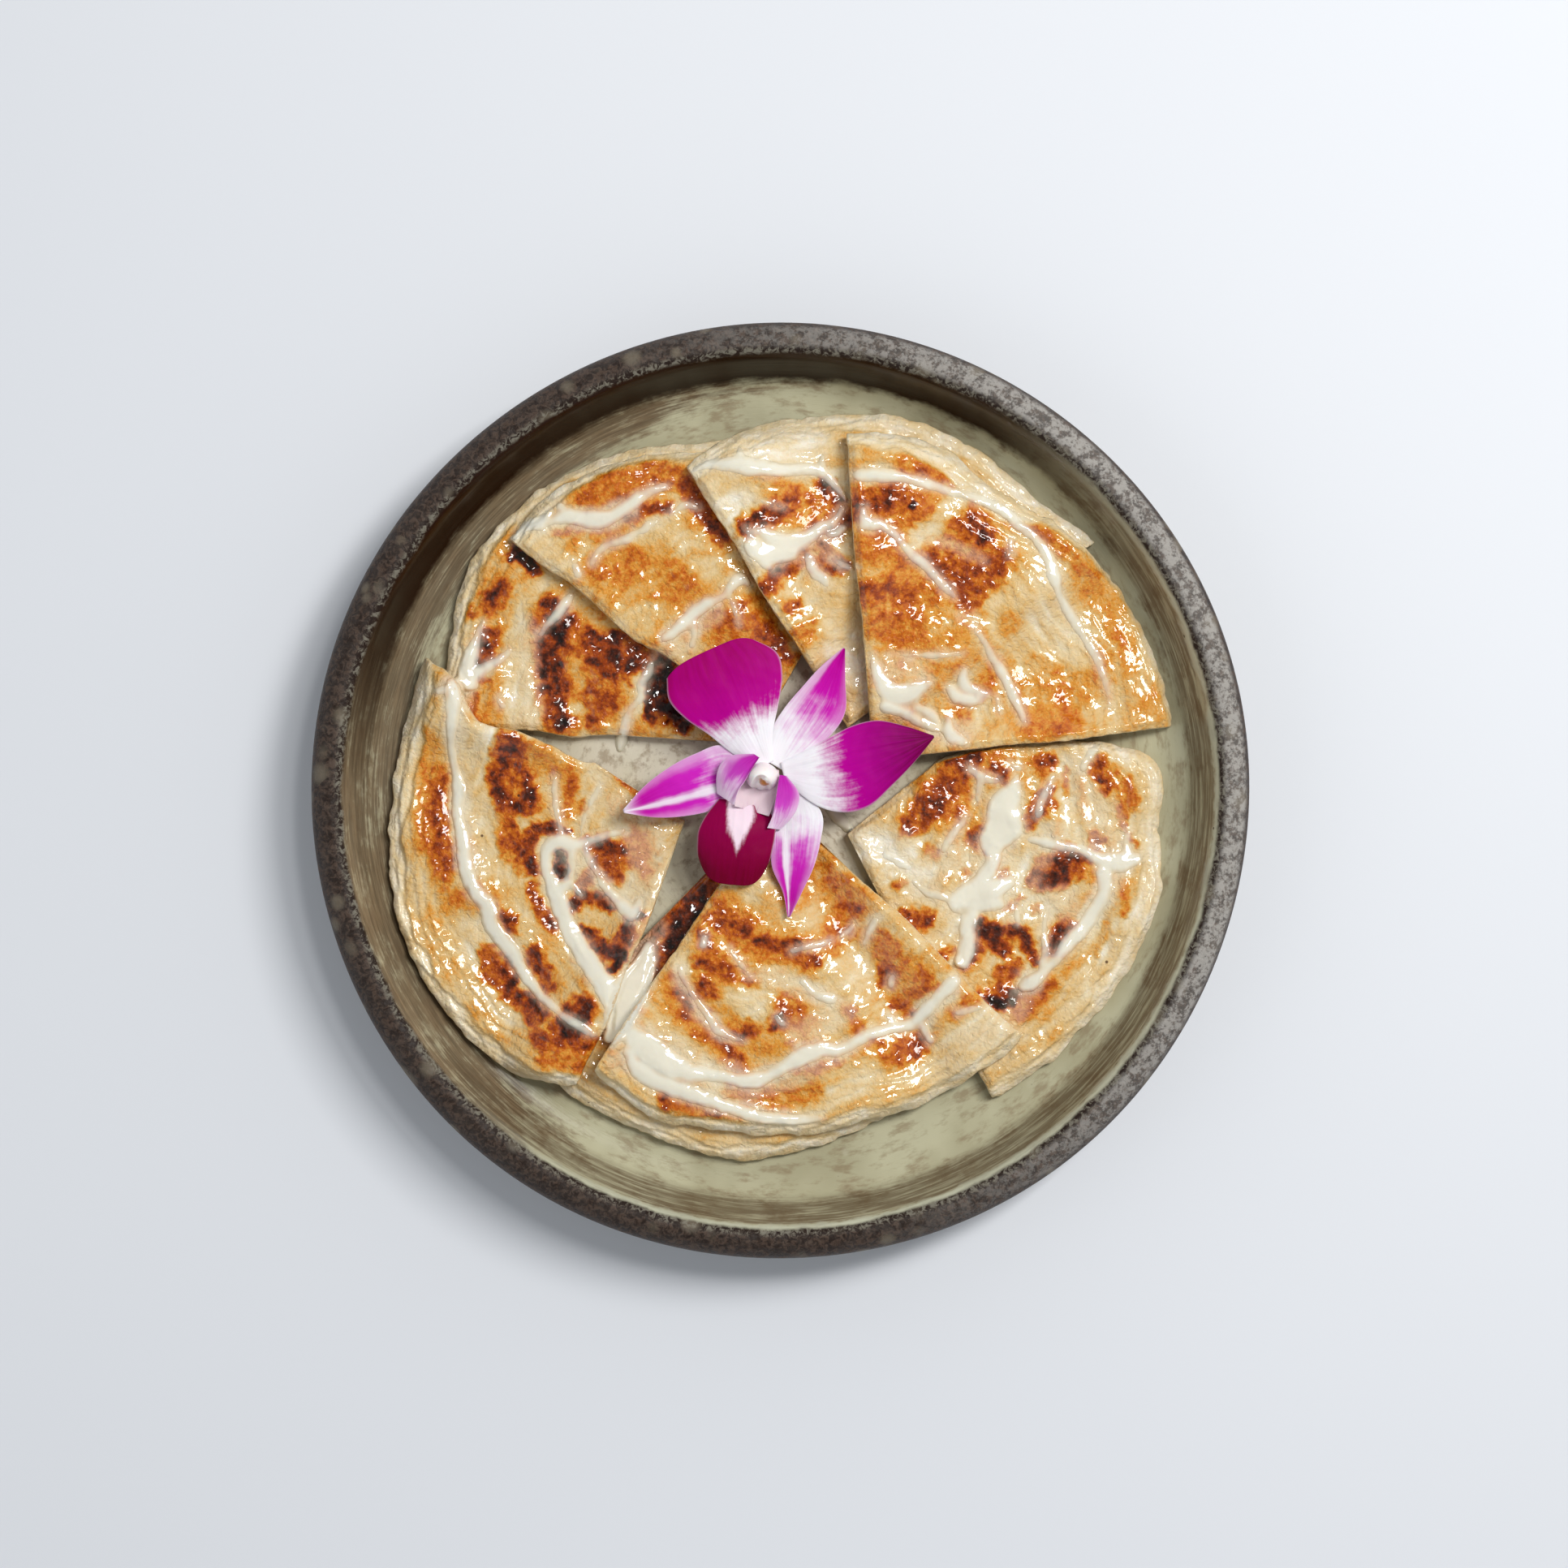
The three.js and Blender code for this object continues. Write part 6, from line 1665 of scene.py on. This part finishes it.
def flush_amount(graph, source, streak, cloud, fuzz):
    """How strongly each spot of a blade is flushed, 0 where it is white."""
    ragged = graph.times(graph.plus(streak, cloud), source["Feather"])
    feather = graph.plus(ragged, graph.swing(fuzz, 0.12))
    width = graph.math("ABSOLUTE", source["Across"])
    start = graph.minus(source["Start"], graph.times(width, source["Taper"]))
    reach = graph.plus(graph.minus(source["Share"], start), feather)
    flush = graph.span(graph.over(reach, source["Feather"]), 0.0, 1.0)
    wander = graph.plus(graph.times(streak, 0.5), graph.times(cloud, 0.8))
    off_rib = graph.math("ABSOLUTE", graph.minus(source["Across"], source["Rib"]))
    off_rib = graph.plus(graph.over(off_rib, source["Rib Width"]), wander)
    rib = graph.times(graph.span(off_rib, 1.0, 0.2), source["Rib Strength"])
    margin = graph.span(graph.plus(width, graph.times(wander, 0.5)), 0.55, 1.0)
    margin = graph.times(margin, source["Margin"])
    tip = graph.times(graph.span(source["Share"], 0.84, 1.0), source["Tip"])
    for pale in (rib, margin, tip):
        flush = graph.times(flush, graph.minus(1.0, pale), clamp=True)
    return flush, width


FLUSH_INPUTS = {
    "Share": 0.5, "Across": 0.0, "Start": 0.3, "Taper": 0.0, "Feather": 0.15, "Rib": 0.0, "Rib Width": 0.2,
    "Rib Strength": 0.0, "Margin": 0.0, "Tip": 0.0,
}
FLUSH_COLOURS = ("Flush", "Deep", "White")


def flush_group():
    """Petal colour: white at the root, feathering into the flush, with a pale rib, margins and tip."""
    inputs = {name: ("value", value) for name, value in FLUSH_INPUTS.items()}
    inputs.update({name: ("colour", None) for name in FLUSH_COLOURS})
    tree, graph, source, sink = new_group("orchid flush", inputs, {"Color": "colour", "Height": "value"})
    place = graph.place()
    values = {0: graph.times(source["Across"], 9.0), 1: graph.times(source["Share"], 1.6)}
    veins = graph.noise(graph.add("CombineXYZ", values).outputs[0], 1.0, 3.0, 0.6)
    fuzz = graph.noise(place, 0.8, 3.0, 0.65)
    cloud = graph.minus(graph.noise(place, 5.0, 2.0, 0.5), 0.5)
    flush, width = flush_amount(graph, source, graph.minus(veins, 0.5), cloud, fuzz)
    colour = graph.mix(flush, source["White"], source["Flush"])
    far = graph.times(graph.span(source["Share"], 0.3, 1.0), flush)
    colour = graph.mix(graph.times(far, graph.span(veins, 0.3, 0.7, 0.7, 1.0)), colour, source["Deep"])
    edge = graph.times(graph.span(width, 0.96, 1.0), 0.3)
    graph.feed(sink["Color"], graph.mix(edge, colour, source["White"]))
    graph.feed(sink["Height"], graph.plus(veins, graph.times(fuzz, 0.3)))
    return tree


WHITE_PETAL = (240, 237, 242)
# What each kind of blade sets in the flush group, and its colours on the screen.
PETAL_LOOKS = {
    "petal": dict(start=0.22, taper=-0.04, feather=0.28, flush=(184, 0, 144), deep=(156, 0, 96)),
    "east_petal": dict(start=0.15, taper=-0.04, feather=0.28, flush=(184, 0, 148), deep=(96, 0, 44)),
    "dorsal": dict(
        start=0.14, feather=0.5, margin=0.25, rib=0.75, rib_width=0.5, rib_strength=0.55,
        flush=(206, 26, 184), deep=(184, 0, 142),
    ),
    "west_sepal": dict(
        start=-0.05, feather=0.5, margin=0.35, rib=0.16, rib_width=0.3, rib_strength=0.85, tip=0.9,
        flush=(206, 36, 190), deep=(182, 4, 148),
    ),
    "south_sepal": dict(
        start=0.12, feather=0.5, margin=0.35, rib=-0.1, rib_width=0.3, rib_strength=0.85, tip=0.3,
        flush=(204, 40, 188), deep=(180, 4, 146),
    ),
    "lip": dict(
        start=0.5, taper=1.1, feather=0.2, flush=(138, 0, 66), deep=(112, 0, 36), white=(244, 222, 234),
    ),
    "throat": dict(
        start=0.9, feather=0.5, flush=(190, 110, 170), deep=(190, 110, 170), white=(226, 206, 212),
    ),
    "lobe": dict(
        start=-0.1, feather=0.7, margin=0.55, flush=(200, 70, 190), deep=(176, 24, 158),
        white=(242, 222, 240),
    ),
}


def petal_material(kind, flush):
    look = PETAL_LOOKS[kind]
    material, graph, shader = new_material(
        "orchid " + kind, Subsurface_Weight=0.05, Subsurface_Scale=0.0012, Roughness=0.5,
        Specular_IOR_Level=0.05,
    )
    values = {"Share": graph.layer("share"), "Across": graph.layer("across")}
    for key in ("start", "taper", "feather", "rib", "rib_width", "rib_strength", "margin", "tip"):
        values[key.replace("_", " ").title()] = look.get(key, 0.2 if key == "rib_width" else 0.0)
    for name in FLUSH_COLOURS:
        values[name] = shade_of(*look.get(name.lower(), WHITE_PETAL))
    made = use_group(graph, flush, values)
    graph.feed(shader["Base Color"], made["Color"])
    graph.feed(shader["Normal"], graph.bump(made["Height"], 0.12, 0.6))
    return material


COLUMN_AT = (-4.4, 3.4)
COLUMN_HALF = (3.9, 3.7)
COLUMN_DOME = 9.6
COLUMN_FOOT = FLOWER_LEVEL + 0.4
COLUMN_BASE = FLOWER_LEVEL + 0.8
COLUMN_RINGS, COLUMN_SEGMENTS = 30, 48
MOUTH_SHIFT, MOUTH_HALF, MOUTH_DEPTH = (0.3, 2.6), (2.5, 3.1), 4.6  # of the hollow, to the south-west
POLLEN_AT = (-3.9, 2.2)
POLLEN_HEIGHT = 2.6


def column_piece():
    """The white hood over the middle of the flower, hollow to the south, with its pollen cap inside."""
    share = np.linspace(0, 1, COLUMN_RINGS)[:, None]
    turn = np.linspace(0, 2 * math.pi, COLUMN_SEGMENTS, endpoint=False)[None]
    x = COLUMN_AT[0] + COLUMN_HALF[0] * share * np.cos(turn) * (1 + 0.08 * np.cos(2 * turn))
    y = COLUMN_AT[1] + COLUMN_HALF[1] * share * np.sin(turn)
    dome = COLUMN_DOME * np.sqrt(np.maximum(0, 1 - share**3.2)) + 0 * turn
    across, along_mouth = x - COLUMN_AT[0] + MOUTH_SHIFT[0], y - COLUMN_AT[1] + MOUTH_SHIFT[1]
    mouth = np.hypot(across / MOUTH_HALF[0], along_mouth / MOUTH_HALF[1])
    hollow = MOUTH_DEPTH * smooth(mouth, 1.05, 0.55)
    cap = POLLEN_HEIGHT * smooth(np.hypot(x - POLLEN_AT[0], y - POLLEN_AT[1]), 1.6, 0.5)
    z = COLUMN_BASE + np.maximum(0.1, dome - hollow + cap * smooth(mouth, 1.1, 0.7))
    upper = np.stack([x, y, z], 2)[1:].reshape(-1, 3)
    foot = np.stack([x[-1], y[-1], np.full(COLUMN_SEGMENTS, COLUMN_FOOT)], 1)
    middles = [[*COLUMN_AT, z[0, 0]], [*COLUMN_AT, COLUMN_FOOT]]
    faces = turned_faces(COLUMN_RINGS, COLUMN_SEGMENTS)
    return mesh_piece("orchid_column", np.concatenate([upper, foot, middles]), faces)


COLUMN_WHITE = shade_of(246, 240, 238)
POLLEN = shade_of(196, 128, 66)


def column_material():
    material, graph, shader = new_material(
        "orchid column", Subsurface_Weight=0.2, Subsurface_Scale=0.002, Roughness=0.35, Specular_IOR_Level=0.4
    )
    place = graph.place()
    away = graph.vector("DISTANCE", place, (*POLLEN_AT, FLOWER_LEVEL + 7.5), result="Value")
    grain = graph.noise(place, 0.9, 3.0, 0.6)
    pollen = graph.span(graph.plus(away, graph.swing(grain, 1.2)), 1.8, 0.9)
    graph.feed(shader["Base Color"], graph.mix(pollen, COLUMN_WHITE, POLLEN))
    graph.feed(shader["Normal"], graph.bump(grain, 0.15, 0.5))
    return material


def orchid_pieces(stack):
    """The blades and the column, all in place of the one plain orchid."""
    bread = draped(stack, PETAL_DRAPE)
    flush = flush_group()
    looks = {kind: petal_material(kind, flush) for kind in PETAL_LOOKS}
    for seed, blade in enumerate(BLADES):
        piece = blade_piece(blade, bread, seed)
        dress(piece, looks[blade["kind"]])
        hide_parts("orchid")
    column = column_piece()
    dress(column, column_material())
    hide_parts("orchid")


# ---- Floor, light and camera ----

CAMERA_AT = (0.9, 1.7, 820.0)
CAMERA_LENS = 75.1
SENSOR = 36.0
FLOOR_HALF = 3.0  # in metres, as are the lights' places and sizes

# Name, place, width and height, power and colour of each light. All of them face the plate.
LIGHTS = [
    ("window", (0.62, 0.44, 1.05), (0.3, 0.44), 10.6, (1.0, 0.985, 0.96)),
    ("skylight", (0.32, 0.36, 1.25), (0.16, 0.16), 3.0, (1.0, 0.99, 0.97)),
    ("bounce", (-0.9, -0.4, 0.8), (0.9, 0.9), 1.4, (0.95, 0.98, 1.0)),
]
SKY_COLOUR = (0.93, 0.965, 1.0, 1)
SKY_LOW, SKY_HIGH = 0.76, 0.17  # strength of the sky near the horizon and overhead


def place_camera():
    data = bpy.data.cameras.new("camera")
    data.lens, data.sensor_width = CAMERA_LENS, SENSOR
    data.clip_start, data.clip_end = 0.01, 20
    camera = bpy.data.objects.new("camera", data)
    camera.location = [c * MM for c in CAMERA_AT]
    bpy.context.scene.collection.objects.link(camera)
    bpy.context.scene.camera = camera


def place_floor():
    mesh = bpy.data.meshes.new("floor")
    signs = ((-1, -1), (1, -1), (1, 1), (-1, 1))
    mesh.from_pydata([(i * FLOOR_HALF, j * FLOOR_HALF, 0) for i, j in signs], [], [(0, 1, 2, 3)])
    floor = bpy.data.objects.new("floor", mesh)
    bpy.context.scene.collection.objects.link(floor)
    material, graph, shader = new_material("pale floor", Roughness=0.8)
    tint = graph.noise(graph.place(), 300.0, 2.0)
    graph.feed(shader["Base Color"], graph.mix(tint, shade_of(226, 229, 234), shade_of(222, 225, 231)))
    dress(floor, material)


def area_light(name, at, size, power, colour):
    data = bpy.data.lights.new(name, "AREA")
    data.shape, data.size, data.size_y = "RECTANGLE", *size
    data.energy, data.color = power, colour
    light = bpy.data.objects.new(name, data)
    light.location = at
    light.rotation_euler = (-Vector(at)).to_track_quat("-Z", "Y").to_euler()
    bpy.context.scene.collection.objects.link(light)


def place_light():
    """A sky that is brighter low down, and the lights."""
    world = bpy.data.worlds.new("studio")
    bpy.context.scene.world = world
    world.use_nodes = True
    graph = Graph(world.node_tree)
    backdrop = world.node_tree.nodes["Background"]
    backdrop.inputs["Color"].default_value = SKY_COLOUR
    upward = graph.parts(graph.add("TexCoord").outputs["Generated"])[2]
    graph.feed(backdrop.inputs["Strength"], graph.span(upward, 0.2, 0.9, SKY_LOW, SKY_HIGH, ease=False))
    for light in LIGHTS:
        area_light(*light)
    bpy.context.scene.view_settings.view_transform = "Standard"
    bpy.context.scene.view_settings.look = "None"


# ---- The plate of roti ----

PITCH = 0.42  # of the points over the tops that show
HIDDEN_PITCH = 2.2
UNDER_PITCH = 3.5

place_camera()
place_light()
place_floor()

specks = speckle_group()
plate = plate_piece()
dress(plate, plate_material(specks))

dough = browned_dough_group()
roti_finish = roti_material(dough, specks)
quarters, stack = stacked_quarters()
for place_in_stack, quarter in enumerate(quarters):
    dress(quarter_piece(quarter, quarters[place_in_stack + 1 :]), roti_finish)
milk = milk_piece(quarters)
dress(milk, milk_material(dough))
orchid_pieces(stack)
